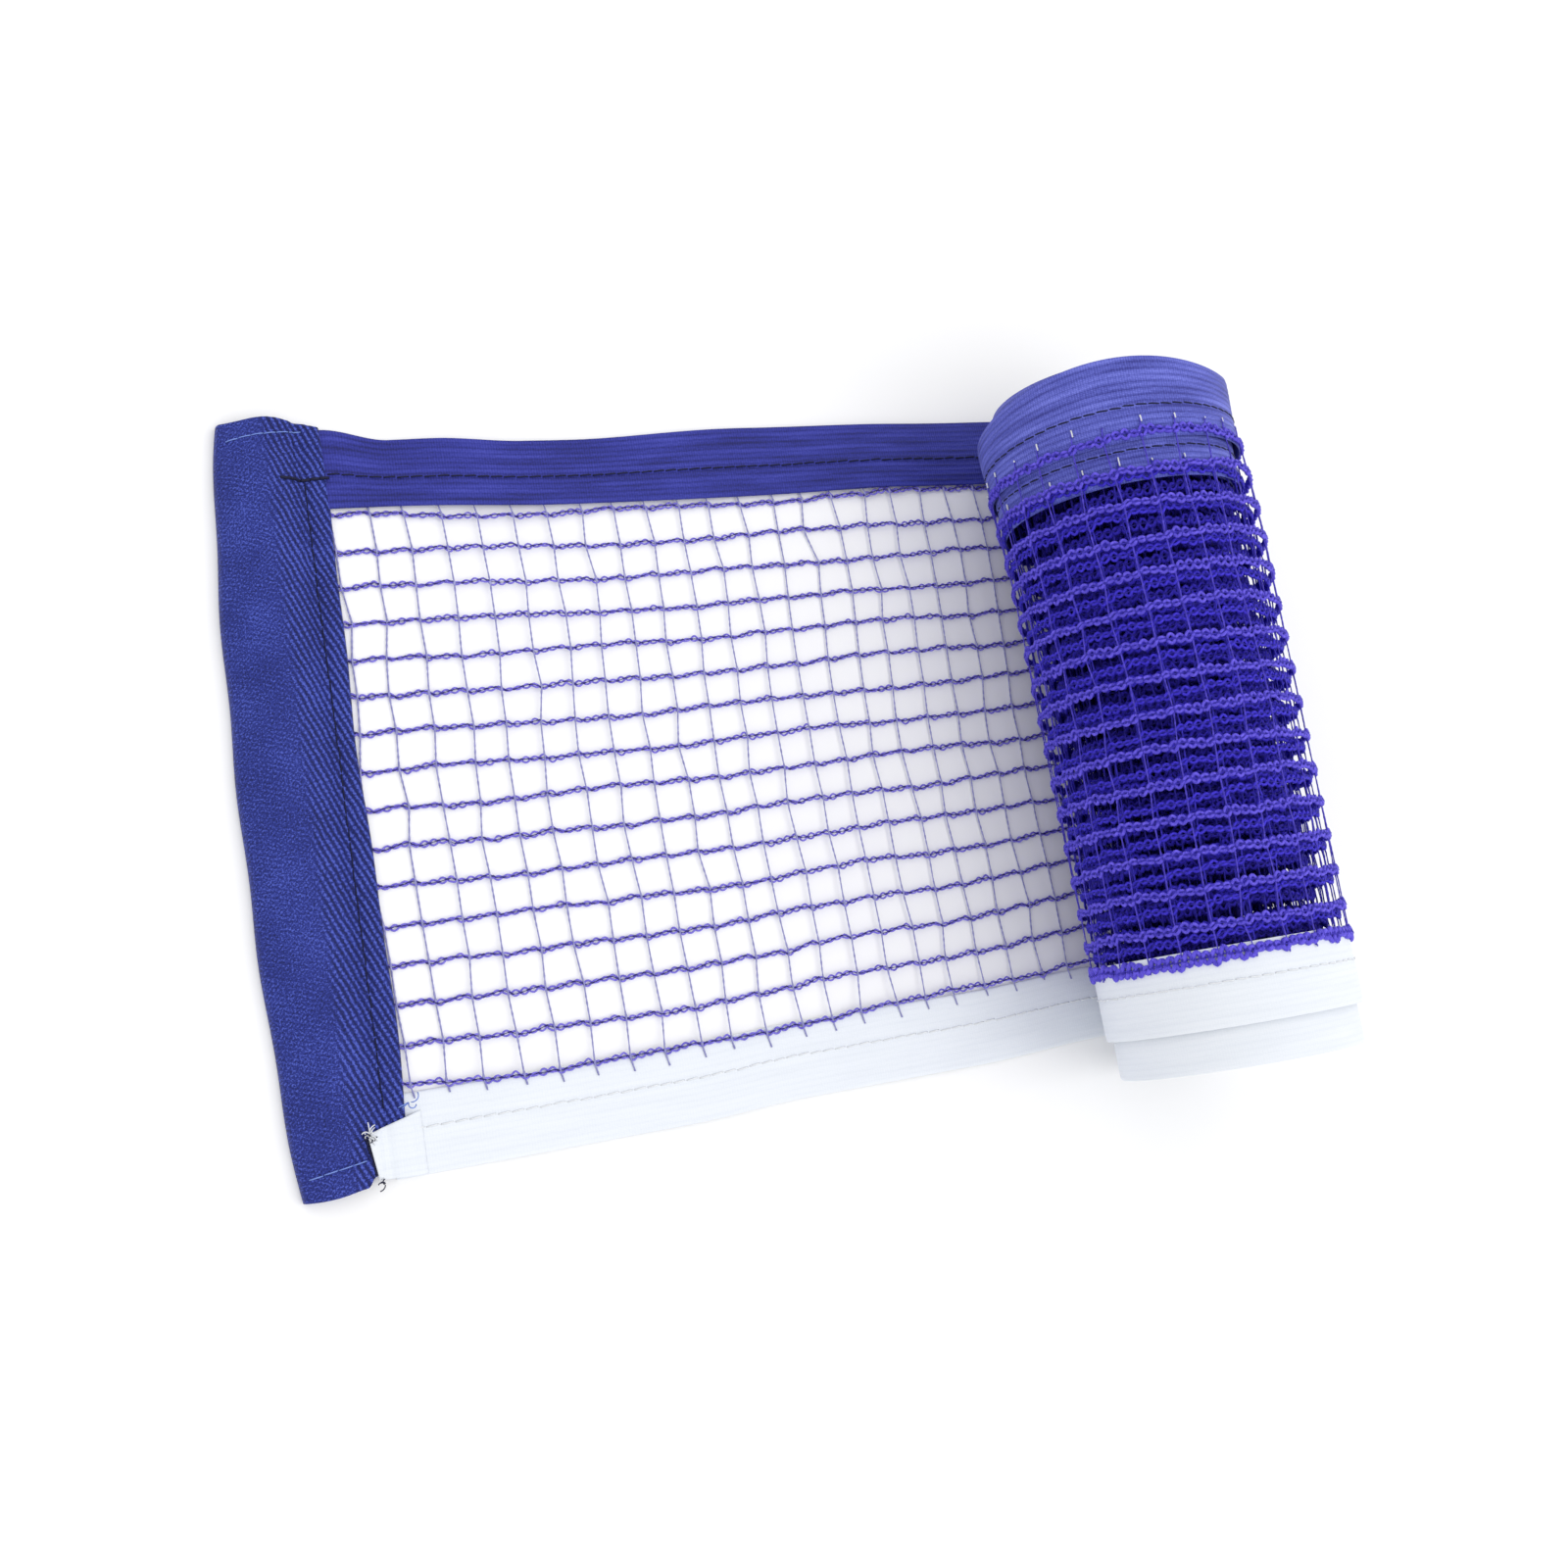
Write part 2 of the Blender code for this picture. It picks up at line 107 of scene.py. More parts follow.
# The wound cloth has slipped along the roll, and its mesh is drawn together on the outer turns.
# Each slip sets in and is reached at two places, counted in turns from the outside.
OUTER_SHIFT = -3.5 * MM
INNER_SHIFT = -11.5 * MM
DEEP_SHIFT = -6.5 * MM
OUTER_SLIP = (0.0, 0.3)
INNER_SLIP = (0.95, 1.25)
DEEP_SLIP = (2.6, 3.4)
MESH_DRAW = 6.2 * MM
WOUND_TAPE_RISE = 2.4 * MM      # in the roll the tape is pushed up under the lowest row
WOUND_BAND_DROP = -1.9 * MM     # and the band down over the highest one
FAR_END_LEAN = -1.6 * MM        # the roll's far end leans towards the run
MESH_WANDER = 3.4 * MM          # the slack mesh strays this far between the wound tapes
SHIFT_WANDER = 0.6 * MM         # the deeper turns' edges lie this unevenly
ROLL_LUMP = 0.22 * MM           # the roll is this far from round
ROLL_TAPER = 0.45 * MM          # thinner by this much at the tape's end, thicker at the band's
RIPPLE = 0.30 * MM              # the run's soft ripples

TAPE_THICK = 0.6 * MM
LAYER_LOW = 0.33 * MM           # middle of the layer next to the table, outermost in the roll
LAYER_HIGH = 0.92 * MM
CORE_LAYER = 0.6 * MM           # the right sleeve's middle layer
CORE_THICK = 1.1 * MM

LOW_TAIL = 2.6 * MM             # the uprights' loose ends beyond the outer rows
HIGH_TAIL = 3.5 * MM
STITCH = 2.7 * MM               # one machine stitch with its gap
STITCH_FILL = 0.86              # the thread's share of it
STITCH_ARCH = 0.16 * MM         # its middle stands above its ends by this much
STITCH_SUNK = 0.10 * MM         # and the ends are this deep in the cloth
SEAM_THREAD = 0.17 * MM
FINE_THREAD = 0.12 * MM
HEM_INSET = 4 * MM
BAND_SEAM = BAND_LOW + 6.6 * MM
TAPE_SEAM = TAPE_HIGH - 6.8 * MM
SLEEVE_SEAM = -4.5 * MM

RUN_START = -3.6 * MM           # the run's cloth reaches into the sleeve's sewn strip
RUN_CUTS = (RUN_START, FOLD_S / 2, (FOLD_S + TUCK_S) / 2, ROLL_S)
# Each part of the run has a name, the two bodies it joins, and the places between which it bends. The bend
# places lie on each hinge's moving side, and the sleeve's are close round its crease; this script reads
# only the names.
BEND = 14 * MM
BEND_OVER = 0.4 * MM
RUN_PARTS = (
    ("outer", "end_sleeve", "outer_run", -BEND_OVER, BEND_OVER),
    ("inner", "outer_run", "inner_run", FOLD_S - BEND, FOLD_S + BEND_OVER),
    ("lead_in", "inner_run", "roll", TUCK_S - BEND, TUCK_S + BEND_OVER),
)

# ------------------------------------------------------------------ the weaves
RIBS = 13
RIB_PITCH = (BAND_HIGH - BAND_LOW) / RIBS
RIB_DEPTH = {"band": 0.035 * MM, "tape": 0.006 * MM}
# The band's back is the same tape as its front, painted lighter: painted light, where the back faces the
# lamp on the roll.
BAND_LOOKS = ("band", "band_back")
BOLD_LEAN = 0.42                # the bold ribs lean this far from the sleeve's length, radians
BOLD_PITCH = 1.17 * MM
BOLD_EDGE = -11.0 * MM          # the bold ribs lie between here and the sewn edge
BEAD_PITCH = 0.95 * MM
FINE_SLOPE = 0.35
FINE_PITCH = 0.95 * MM


# ------------------------------------------------------------------ cloth coordinates
def smooth(value, low, high):
    """Rises from 0 at low to 1 at high, level at both."""
    t = np.clip((value - low) / (high - low), 0.0, 1.0)
    return t * t * (3 - 2 * t)


def wound_angle(length):
    """Angle of the roll that a wound length takes up; the radius falls by a pitch a turn."""
    fall = WRAP_PITCH / TURN
    return (ROLL_R - np.sqrt(np.maximum(ROLL_R**2 - 2 * fall * length, 0.0))) / fall


def wound_length(angle):
    """The inverse of wound_angle()."""
    return ROLL_R * angle - WRAP_PITCH * angle**2 / (2 * TURN)


def roll_angle(s):
    """The roll's angle at a place s, counted from the table; 0 on the run."""
    return wound_angle(np.maximum(np.asarray(s, float) - ROLL_S, 0.0))


def lies_flat(turns):
    """1 on the run, and 0 on the roll once its first slip is reached."""
    return 1 - smooth(turns, *OUTER_SLIP)


def wound_y(angle, y):
    """Where the wound cloth's y lands on the roll."""
    turns = angle / TURN
    outer = smooth(turns, *OUTER_SLIP)
    inner = smooth(turns, *INNER_SLIP)
    deep = smooth(turns, *DEEP_SLIP)
    shift = (OUTER_SHIFT * outer + (INNER_SHIFT - OUTER_SHIFT) * inner
             + (DEEP_SHIFT - INNER_SHIFT) * deep)
    wander = SHIFT_WANDER * np.sin(0.83 * angle + 1.0) * smooth(turns, 1.3, 2.5)
    return y + shift + wander - MESH_DRAW * (outer - deep) * np.clip(y / MESH_HIGH, 0, 1)


def mesh_drift(s, y):
    """How far the netting strays across the net: it sags along the run, slackens in the roll."""
    up = np.clip(y / MESH_HIGH, 0, 1)
    low = (-0.9 - 1.7 * smooth(s, 0, 27 * MM) + 1.8 * smooth(s, 62 * MM, 111 * MM)
           + 2.0 * smooth(s, 111 * MM, 150 * MM)) * MM
    high = (0.1 - 1.9 * smooth(s, 2 * MM, 40 * MM) + 1.9 * smooth(s, 60 * MM, 140 * MM)) * MM
    turns = roll_angle(s) / TURN
    slack = MESH_WANDER * np.sin(2.32 * turns + 0.5) * smooth(turns, 0.95, 1.6)
    return (low * (1 - up) ** 2 + high * up**2) * lies_flat(turns) + slack * np.sin(math.pi * up)


def band_drift(s, y):
    """The band's stray: a shallow sag on the run and an upper edge that stands out on the roll."""
    up = np.clip((y - BAND_LOW) / (BAND_HIGH - BAND_LOW), 0, 1)
    low = (0.5 - 1.3 * smooth(s, 8 * MM, 45 * MM) + 0.8 * smooth(s, 70 * MM, 125 * MM)) * MM
    high = (1.9 - 2.6 * smooth(s, 0, 13 * MM) - 1.1 * smooth(s, 22 * MM, 40 * MM)
            + 1.7 * smooth(s, 50 * MM, 90 * MM)) * MM
    turns = roll_angle(s) / TURN
    lying = lies_flat(turns)
    flare = (0.4 + 2.0 * np.cos(TURN * (turns - 0.58) / 0.5)
             + 5.0 * np.exp(-((turns - 0.27) / 0.09) ** 2)) * MM
    outermost = smooth(turns, 0.06, 0.2) * (1 - smooth(turns, 0.85, 1.05))
    wound = WOUND_BAND_DROP * (1 - lying) + flare * up**1.5 * outermost
    return (low + (high - low) * up) * lying + wound


def tape_drift(s, y):
    """The tape's stray: it hangs lower than the netting's rows on the run, higher in the roll."""
    low = (-2.6 + 1.0 * smooth(s, 53 * MM, 80 * MM) + 1.2 * smooth(s, 119 * MM, 150 * MM)) * MM
    return low + (WOUND_TAPE_RISE - low) * (1 - lies_flat(roll_angle(s) / TURN)) + 0.0 * y


def no_drift(s, y):
    """The right sleeve doesn't stray."""
    return 0.0 * s * y


def turned_under(s):
    """0 on the run and 1 in the roll, where the netting and the tape have changed layers."""
    return smooth(s, ROLL_S, ROLL_S + 14 * MM)


def netting_mid(s, y):
    """The netting's middle layer: under the band, and over the tape on the run."""
    over_tape = (1 - smooth(y, 0.5 * MM, 9 * MM)) * (1 - turned_under(s))
    return LAYER_LOW + (LAYER_HIGH - LAYER_LOW) * over_tape


def tape_mid(s, y):
    """The tape's middle layer: next to the table on the run, and over the netting in the roll."""
    return LAYER_LOW + (LAYER_HIGH - LAYER_LOW) * turned_under(s) + 0.0 * y


def band_mid(s, y):
    """The band lies over the netting's edge and comes down to the table beyond it."""
    return LAYER_HIGH - 0.45 * MM * smooth(y, MESH_HIGH + HIGH_TAIL, BAND_HIGH) + 0.0 * s


def core_mid(s, y):
    return CORE_LAYER + 0.0 * s * y


def run_ripple(s, y):
    """Height of the run's soft ripples above the table."""
    ripple = np.sin(s * 63.0 + 1.3 + 9 * y) * np.sin(y * 41.0 + 0.6)
    ripple = ripple + 0.5 * np.sin(s * 140.0 + 30 * y)
    lying = smooth(s, 4 * MM, 22 * MM) * (1 - smooth(s, ROLL_S - 45 * MM, ROLL_S - 22 * MM))
    return RIPPLE * (1.5 + ripple) * lying


def on_cloth(s, y, h, drift):
    """World points of cloth coordinates."""
    s, y, h = np.broadcast_arrays(np.asarray(s, float), y, h)
    angle = roll_angle(s)
    taper = ROLL_TAPER * (2 * np.clip(y / MESH_HIGH, 0, 1) - 1)
    lump = (ROLL_LUMP * np.sin(3 * angle + 0.7) + taper) * smooth(angle / TURN, 0.08, 0.3)
    radius = ROLL_R - WRAP_PITCH * angle / TURN + lump - h
    rolled = s > ROLL_S
    lean = FAR_END_LEAN * smooth(y, 90 * MM, 125 * MM) * smooth(angle / TURN, 0.0, 0.2)
    x = np.where(rolled, ROLL_S + radius * np.sin(angle) + lean, s)
    z = np.where(rolled, ROLL_R - radius * np.cos(angle), h + run_ripple(s, y))
    across = np.where(rolled, wound_y(angle, y), y) + drift(s, y)
    return np.stack([x, across, z], axis=-1) + CLOTH_ORIGIN


def up_from_cloth(s):
    """The direction in which h grows: up on the run, inwards on the roll."""
    angle = roll_angle(s)
    return np.stack([-np.sin(angle), np.zeros_like(angle), np.cos(angle)], axis=-1)


# ------------------------------------------------------------------ meshes
class Shape:
    """Collects the faces of one piece, with a texture place for every vertex."""

    def __init__(self):
        self.verts = []
        self.places = []
        self.quads = []
        self.quad_slots = []
        self.caps = []
        self.cap_slots = []
        self.count = 0

    def add(self, verts, places, quads, caps=(), slot=0):
        """Adds quads and end caps; slot is one material index or one for every quad."""
        self.verts.append(verts.reshape(-1, 3))
        self.places.append(places.reshape(-1, 2))
        self.quads.append(quads.reshape(-1, 4) + self.count)
        self.quad_slots.append(np.broadcast_to(slot, quads.shape[:-1]).ravel())
        for cap in caps:
            self.caps.append(cap + self.count)
            self.cap_slots.append(np.full(len(cap), np.min(slot)))
        self.count += len(self.verts[-1])

    def piece(self, name, *looks):
        """Makes the object; looks are its material slots, in order."""
        verts = np.concatenate(self.verts)
        places = np.concatenate(self.places)
        quads = np.concatenate(self.quads)
        corners = np.concatenate([quads.ravel()] + [cap.ravel() for cap in self.caps])
        totals = np.concatenate([np.full(len(quads), 4)]
                                + [np.full(len(cap), cap.shape[1]) for cap in self.caps])
        starts = np.concatenate([[0], np.cumsum(totals)[:-1]])
        mesh = bpy.data.meshes.new(name)
        mesh.vertices.add(len(verts))
        mesh.vertices.foreach_set("co", verts.astype(np.float32).ravel())
        mesh.loops.add(len(corners))
        mesh.loops.foreach_set("vertex_index", corners.astype(np.int32))
        mesh.polygons.add(len(totals))
        mesh.polygons.foreach_set("loop_start", starts.astype(np.int32))
        mesh.polygons.foreach_set("loop_total", totals.astype(np.int32))
        for look in looks:
            mesh.materials.append(LOOKS[look])
        slots = np.concatenate(self.quad_slots + self.cap_slots)
        mesh.polygons.foreach_set("material_index", slots.astype(np.int32))
        smooth_faces = np.arange(len(totals)) < len(quads)
        mesh.polygons.foreach_set("use_smooth", smooth_faces)
        mesh.update(calc_edges=True)
        layer = mesh.uv_layers.new(name="cloth")
        layer.data.foreach_set("uv", places[corners].astype(np.float32).ravel())
        made = bpy.data.objects.new(name, mesh)
        bpy.context.scene.collection.objects.link(made)
        return made


def unit(v):
    """Vectors of length 1; a zero vector stays zero."""
    return v / np.maximum(np.linalg.norm(v, axis=-1, keepdims=True), 1e-12)


def ring_quads(strands, stations, around):
    """Quads of tubes whose vertices are numbered strand, station, place in the ring."""
    strand = np.arange(strands)[:, None, None] * stations * around
    station = np.arange(stations - 1)[None, :, None] * around
    k = np.arange(around)[None, None, :]
    after = (k + 1) % around
    base = strand + station
    return np.stack([base + k, base + after, base + around + after, base + around + k], axis=-1)


def end_caps(strands, stations, around):
    """Caps for the two ends of the same tubes."""
    first = np.arange(strands)[:, None] * stations * around
    ring = np.arange(around)
    return [first + ring[::-1], first + (stations - 1) * around + ring]


def add_threads(shape, path, up, radius, sides, slot=0):
    """Round threads along path (strand, station, xyz); up is each point's reference."""
    ahead = unit(np.gradient(path, axis=1))
    side = unit(np.cross(ahead, up))
    above = np.cross(side, ahead)
    turn = np.arange(sides) * TURN / sides
    radius = np.broadcast_to(np.asarray(radius, float), path.shape[:2])[..., None, None]
    ring = (np.cos(turn)[:, None] * side[..., None, :]
            + np.sin(turn)[:, None] * above[..., None, :])
    verts = path[..., None, :] + radius * ring
    step = np.linalg.norm(np.diff(path, axis=1), axis=-1)
    along = np.concatenate([np.zeros((len(path), 1)), np.cumsum(step, axis=1)], axis=1) / MM
    places = np.empty(verts.shape[:3] + (2,))
    places[..., 0] = along[..., None]
    places[..., 1] = turn / TURN
    strands, stations = path.shape[:2]
    shape.add(verts, places, ring_quads(strands, stations, sides),
              end_caps(strands, stations, sides), slot)


# ------------------------------------------------------------------ materials
class Look:
    """A procedural material under construction."""

    def __init__(self, name, roughness, sheen=0.0, specular=0.5):
        self.material = bpy.data.materials.new(name)
        self.material.use_nodes = True
        self.tree = self.material.node_tree
        self.shader = self.tree.nodes["Principled BSDF"]
        self.shader.inputs["Roughness"].default_value = roughness
        self.shader.inputs["Specular IOR Level"].default_value = specular
        self.shader.inputs["Sheen Weight"].default_value = sheen
        self.shader.inputs["Sheen Roughness"].default_value = 0.4

    def node(self, kind, inputs=None, **settings):
        made = self.tree.nodes.new(kind)
        for key, value in settings.items():
            setattr(made, key, value)
        for key, value in (inputs or {}).items():
            if isinstance(value, bpy.types.NodeSocket):
                self.tree.links.new(value, made.inputs[key])
            else:
                made.inputs[key].default_value = value
        return made

    def place(self, scale=(1.0, 1.0, 1.0), turn=0.0):
        """Cloth places in millimetres, turned and scaled."""
        uv = self.node("ShaderNodeUVMap", uv_map="cloth")
        return self.node("ShaderNodeMapping", {"Vector": uv.outputs[0], "Scale": scale,
                                               "Rotation": (0.0, 0.0, turn)}).outputs[0]

    def noise(self, scale, detail=2.0, vector=None):
        if vector is None:
            vector = self.place()
        return self.node("ShaderNodeTexNoise", {"Vector": vector, "Scale": scale,
                                                "Detail": detail}).outputs[0]

    def wave(self, vector, pitch, distortion=0.0, direction="X"):
        """A sine wave with the given pitch in the vector's own units."""
        return self.node("ShaderNodeTexWave",
                         {"Vector": vector, "Scale": TURN / 20 / pitch, "Distortion": distortion,
                          "Detail": 1.0},
                         wave_type="BANDS", bands_direction=direction).outputs[0]

    def math(self, operation, a, b):
        return self.node("ShaderNodeMath", {0: a, 1: b}, operation=operation).outputs[0]

    def total(self, *terms):
        """The sum of (value, weight) terms."""
        made = self.math("MULTIPLY", *terms[0])
        for value, weight in terms[1:]:
            made = self.math("ADD", made, self.math("MULTIPLY", value, weight))
        return made

    def ramp(self, value, stops):
        """A colour ramp through (position, colour) stops."""
        made = self.node("ShaderNodeValToRGB", {"Fac": value})
        ramp = made.color_ramp
        ramp.elements[0].position = stops[0][0]
        ramp.elements[0].color = (*stops[0][1], 1.0)
        ramp.elements[1].position = stops[-1][0]
        ramp.elements[1].color = (*stops[-1][1], 1.0)
        for position, colour in stops[1:-1]:
            ramp.elements.new(position).color = (*colour, 1.0)
        return made.outputs[0]

    def finish(self, colour, height, strength, distance):
        """Links the base colour and a bump whose height runs from 0 to 1."""
        self.tree.links.new(colour, self.shader.inputs["Base Color"])
        bump = self.node("ShaderNodeBump", {"Height": height, "Strength": strength,
                                            "Distance": distance})
        self.tree.links.new(bump.outputs[0], self.shader.inputs["Normal"])
        return self.material


def yarn_look(name, dark, light):
    """Spun yarn: fibres twist round it and its colour varies along it."""
    look = Look(name, 0.6, 0.03, 0.25)
    fibres = look.wave(look.place(scale=(1.0, 1.2, 1.0), turn=0.6), 0.22, 1.5)
    patches = look.noise(0.9, 3.0)
    colour = look.ramp(look.total((fibres, 0.4), (patches, 0.8)), ((0.3, dark), (0.95, light)))
    return look.finish(colour, fibres, 0.35, 0.08 * MM)


def ribbed_look(name, groove, rib, high, roughness, depth):
    """Narrow woven tape: lengthwise ribs with short cross floats and faint cloudy patches, lighter and
    darker.
    """
    look = Look(name, roughness, 0.05, 0.3)
    ribs = look.math("POWER", look.wave(look.place(), RIB_PITCH / MM, 0.5, "Y"), 0.4)
    floats = look.wave(look.place(), 0.55, 0.8, "X")
    fine = look.wave(look.place(), 0.31, 0.6, "Y")
    cloud = look.noise(0.5, 4.0, look.place(scale=(0.10, 1.0, 1.0)))
    speck = look.noise(2.2, 2.0)
    weave = look.math("MULTIPLY", floats, fine)
    value = look.total((ribs, 0.15), (weave, 0.16), (cloud, 0.56), (speck, 0.30))
    colour = look.ramp(value, ((0.40, groove), (0.58, rib), (0.80, high)))
    return look.finish(colour, look.total((ribs, 0.6), (weave, 0.5)), depth, 0.12 * MM)


def twill_look(name, deep, mid, high):
    """Herringbone twill: fine towards the fold, bold diagonal ribs towards the sewn edge."""
    look = Look(name, 0.75, 0.05, 0.25)
    bold = look.wave(look.place(turn=-BOLD_LEAN), BOLD_PITCH / MM, 1.6, "X")
    beads = look.wave(look.place(turn=-BOLD_LEAN), BEAD_PITCH / MM, 0.4, "Y")
    fine = look.wave(look.place(turn=math.atan(FINE_SLOPE)), FINE_PITCH / MM, 0.9, "Y")
    floats = look.wave(look.place(turn=0.75), 0.62, 1.4, "X")
    speck = look.noise(2.5, 2.0)
    grain = look.noise(4.6, 1.0)
    cloud = look.noise(0.09, 3.0)
    along = look.node("ShaderNodeSeparateXYZ", {"Vector": look.place()}).outputs[0]
    along = look.total((along, 1.0), (speck, 1.6))
    edge = look.node("ShaderNodeMapRange", {"Value": along, "From Min": BOLD_EDGE / MM - 0.6,
                                            "From Max": BOLD_EDGE / MM + 1.6}).outputs[0]
    ribbed = look.total((bold, 0.24), (look.math("MULTIPLY", beads, bold), 0.14))
    plain = look.math("ADD", look.total((fine, 0.06), (floats, 0.06)), 0.11)
    weave = look.node("ShaderNodeMix", {0: edge, 2: plain, 3: ribbed}).outputs[0]
    value = look.total((weave, 1.0), (speck, 0.62), (grain, 0.56), (cloud, 0.20))
    colour = look.ramp(value, ((0.65, deep), (0.90, mid), (1.0, high)))
    return look.finish(colour, look.total((weave, 1.0), (speck, 0.4)), 0.7, 0.15 * MM)


LOOKS = {
    # Each netting yarn comes in three copies of one yarn, told apart by light: the run's copy is painted
    # paler and greyer, for the white table's light that shows through and round the thin yarn; the outer
    # turns' copy is painted in full light; the inner turns' copy is painted darker, painted shade.
    "row_run": yarn_look("row_yarn", (0.055, 0.042, 0.40), (0.32, 0.27, 0.95)),
    "row_outer": yarn_look("outer_row_yarn", (0.022, 0.014, 0.36), (0.21, 0.155, 1.0)),
    "row_inner": yarn_look("inner_row_yarn", (0.014, 0.008, 0.31), (0.075, 0.048, 0.88)),
    # The knot yarn is painted near-black in every copy: painted shade, for the dark depth inside each
    # knitted row.
    "knot_run": yarn_look("knot_yarn", (0.008, 0.006, 0.07), (0.045, 0.035, 0.26)),
    "knot_outer": yarn_look("outer_knot_yarn", (0.010, 0.006, 0.18), (0.07, 0.048, 0.60)),
    "knot_inner": yarn_look("inner_knot_yarn", (0.008, 0.005, 0.17), (0.045, 0.030, 0.50)),
    "upright_run": yarn_look("upright_yarn", (0.15, 0.15, 0.38), (0.42, 0.42, 0.72)),
    "upright_outer": yarn_look("outer_upright_yarn", (0.018, 0.011, 0.26), (0.13, 0.095, 0.78)),
    "upright_inner": yarn_look("inner_upright_yarn", (0.011, 0.007, 0.24), (0.055, 0.038, 0.66)),
    "band": ribbed_look("blue_tape_front", (0.009, 0.011, 0.11), (0.022, 0.028, 0.26),
                        (0.055, 0.065, 0.42), 0.65, 0.6),
    # The same blue tape painted lighter for its back: painted light, where the wound band faces the lamp.
    "band_back": ribbed_look("blue_tape_back", (0.030, 0.034, 0.24), (0.082, 0.096, 0.46),
                             (0.19, 0.215, 0.74), 0.6, 0.8),
    "tape": ribbed_look("white_tape", (0.72, 0.755, 0.815), (0.755, 0.79, 0.845),
                        (0.79, 0.82, 0.87), 0.75, 0.10),
    "twill": twill_look("herringbone_twill", (0.006, 0.009, 0.065), (0.019, 0.031, 0.23),
                        (0.072, 0.105, 0.48)),
    "dark_thread": yarn_look("dark_seam_thread", (0.003, 0.004, 0.02), (0.012, 0.014, 0.06)),
    "pale_thread": yarn_look("pale_seam_thread", (0.66, 0.68, 0.71), (0.86, 0.88, 0.90)),
    "hem_thread": yarn_look("light_blue_hem_thread", (0.11, 0.18, 0.54), (0.26, 0.38, 0.84)),
}


# ------------------------------------------------------------------ netting
LOOPS = 4                       # eyes of the knitted chain in one cell
LOOP_REACH = 0.50 * MM
LOOP_RISE = 0.12 * MM
ROW_PHASE = 0.37                # eyes by which each row is ahead of the row below
KNOT_RISE = 0.13 * MM
KNOT_STRAY = 0.16 * MM
GATHERED = 0.45                 # how much fuller the lowest row is where it gathers on the roll
GATHER_LIFT = 1.2 * MM
ROW_STEP = 0.8 * MM             # a row steps by this much at each upright
YARN = 0.20 * MM
UPRIGHT_YARN = 0.12 * MM
UPRIGHT_TWIST = 3.2 * MM        # the length in which its two plies twist once
UPRIGHT_RISE = 0.22 * MM        # it climbs this far over a row
TIP = 1.1 * MM                  # the length of an upright's pale tip, a painted highlight where its cut end catches the light
SLIP_NOISE = 0.32 * MM          # how unevenly the uprights have slipped along the rows
SLIP_WAVE = 0.60 * MM
STRAY_NOISE = 0.17 * MM         # and how far the rows stray from straight
STRAY_WAVE = 0.28 * MM

COLUMNS = int((ROLL_S + wound_length(WOUND_TURNS * TURN)) / CELL_W) + 2
NODE_DX = (RNG.normal(0, SLIP_NOISE, (COLUMNS, ROWS))
           + SLIP_WAVE * np.sin(np.arange(ROWS) * 0.55 + RNG.uniform(0, 0.9, (COLUMNS, 1)) + 0.4))
NODE_DY = (RNG.normal(0, STRAY_NOISE, (COLUMNS, ROWS))
           + STRAY_WAVE * np.sin(np.arange(COLUMNS)[:, None] * 0.7 + RNG.uniform(0, 6, (1, ROWS))))
TAILS = RNG.uniform(0.7, 1.25, (COLUMNS, 2))
EYES = RNG.uniform(0.45, 1.2, (ROWS, COLUMNS * LOOPS + 8))


def row_y(s, row):
    """A row's path: it meets the uprights at their nodes and steps a little at each."""
    column = s / CELL_W + 1
    stray = np.interp(column, np.arange(COLUMNS), NODE_DY[:, row])
    saw = (column % 1.0 - 0.5) * smooth(0.5 - np.abs(column % 1.0 - 0.5), 0.0, 0.12)
    return row * CELL_H + stray + ROW_STEP * saw


def add_rows(shape, s0, s1, per_loop, sides, full):
    """The knitted rows: two yarns open into eyes, a third knots them between the eyes."""
    samples = max(int((s1 - s0) / CELL_W * LOOPS * per_loop), 4) + 1
    s = np.linspace(s0, s1, samples)
    up = np.broadcast_to(up_from_cloth(s), (ROWS, samples, 3))
    paths = {1: [], -1: [], 0: []}
    face = 1 - 2 * turned_under(s)
    knots = []
    fullness = np.full((ROWS, samples), full)
    fullness[0] *= 1 + GATHERED * turned_under(s)
    for row in range(ROWS):
        phase = ((s + CELL_W) / CELL_W * LOOPS + row * ROW_PHASE) * math.pi
        y = row_y(s, row) + GATHER_LIFT * (row == 0) * turned_under(s)
        mid = netting_mid(s, y)
        eye = EYES[row, (phase / math.pi).astype(int)]
        for turn in (1, -1):
            reach = turn * LOOP_REACH * fullness[row] * eye * np.sin(phase)
            rise = turn * LOOP_RISE * np.cos(phase)
            paths[turn].append(on_cloth(s, y + reach, mid + rise, mesh_drift))
        stray = KNOT_STRAY * np.sin(phase * 0.5 + row)
        paths[0].append(on_cloth(s, y + stray, mid + KNOT_RISE * face, mesh_drift))
        knots.append(0.35 + 0.95 * np.cos(phase) ** 4)
    add_threads(shape, np.array(paths[1]), up, YARN * fullness, sides)
    add_threads(shape, np.array(paths[-1]), up, YARN * fullness, sides)
    # The knotting yarn takes the near-black knot look: painted shade for the dark depth inside the row.
    add_threads(shape, np.array(paths[0]), up, YARN * fullness * np.array(knots), sides, 1)


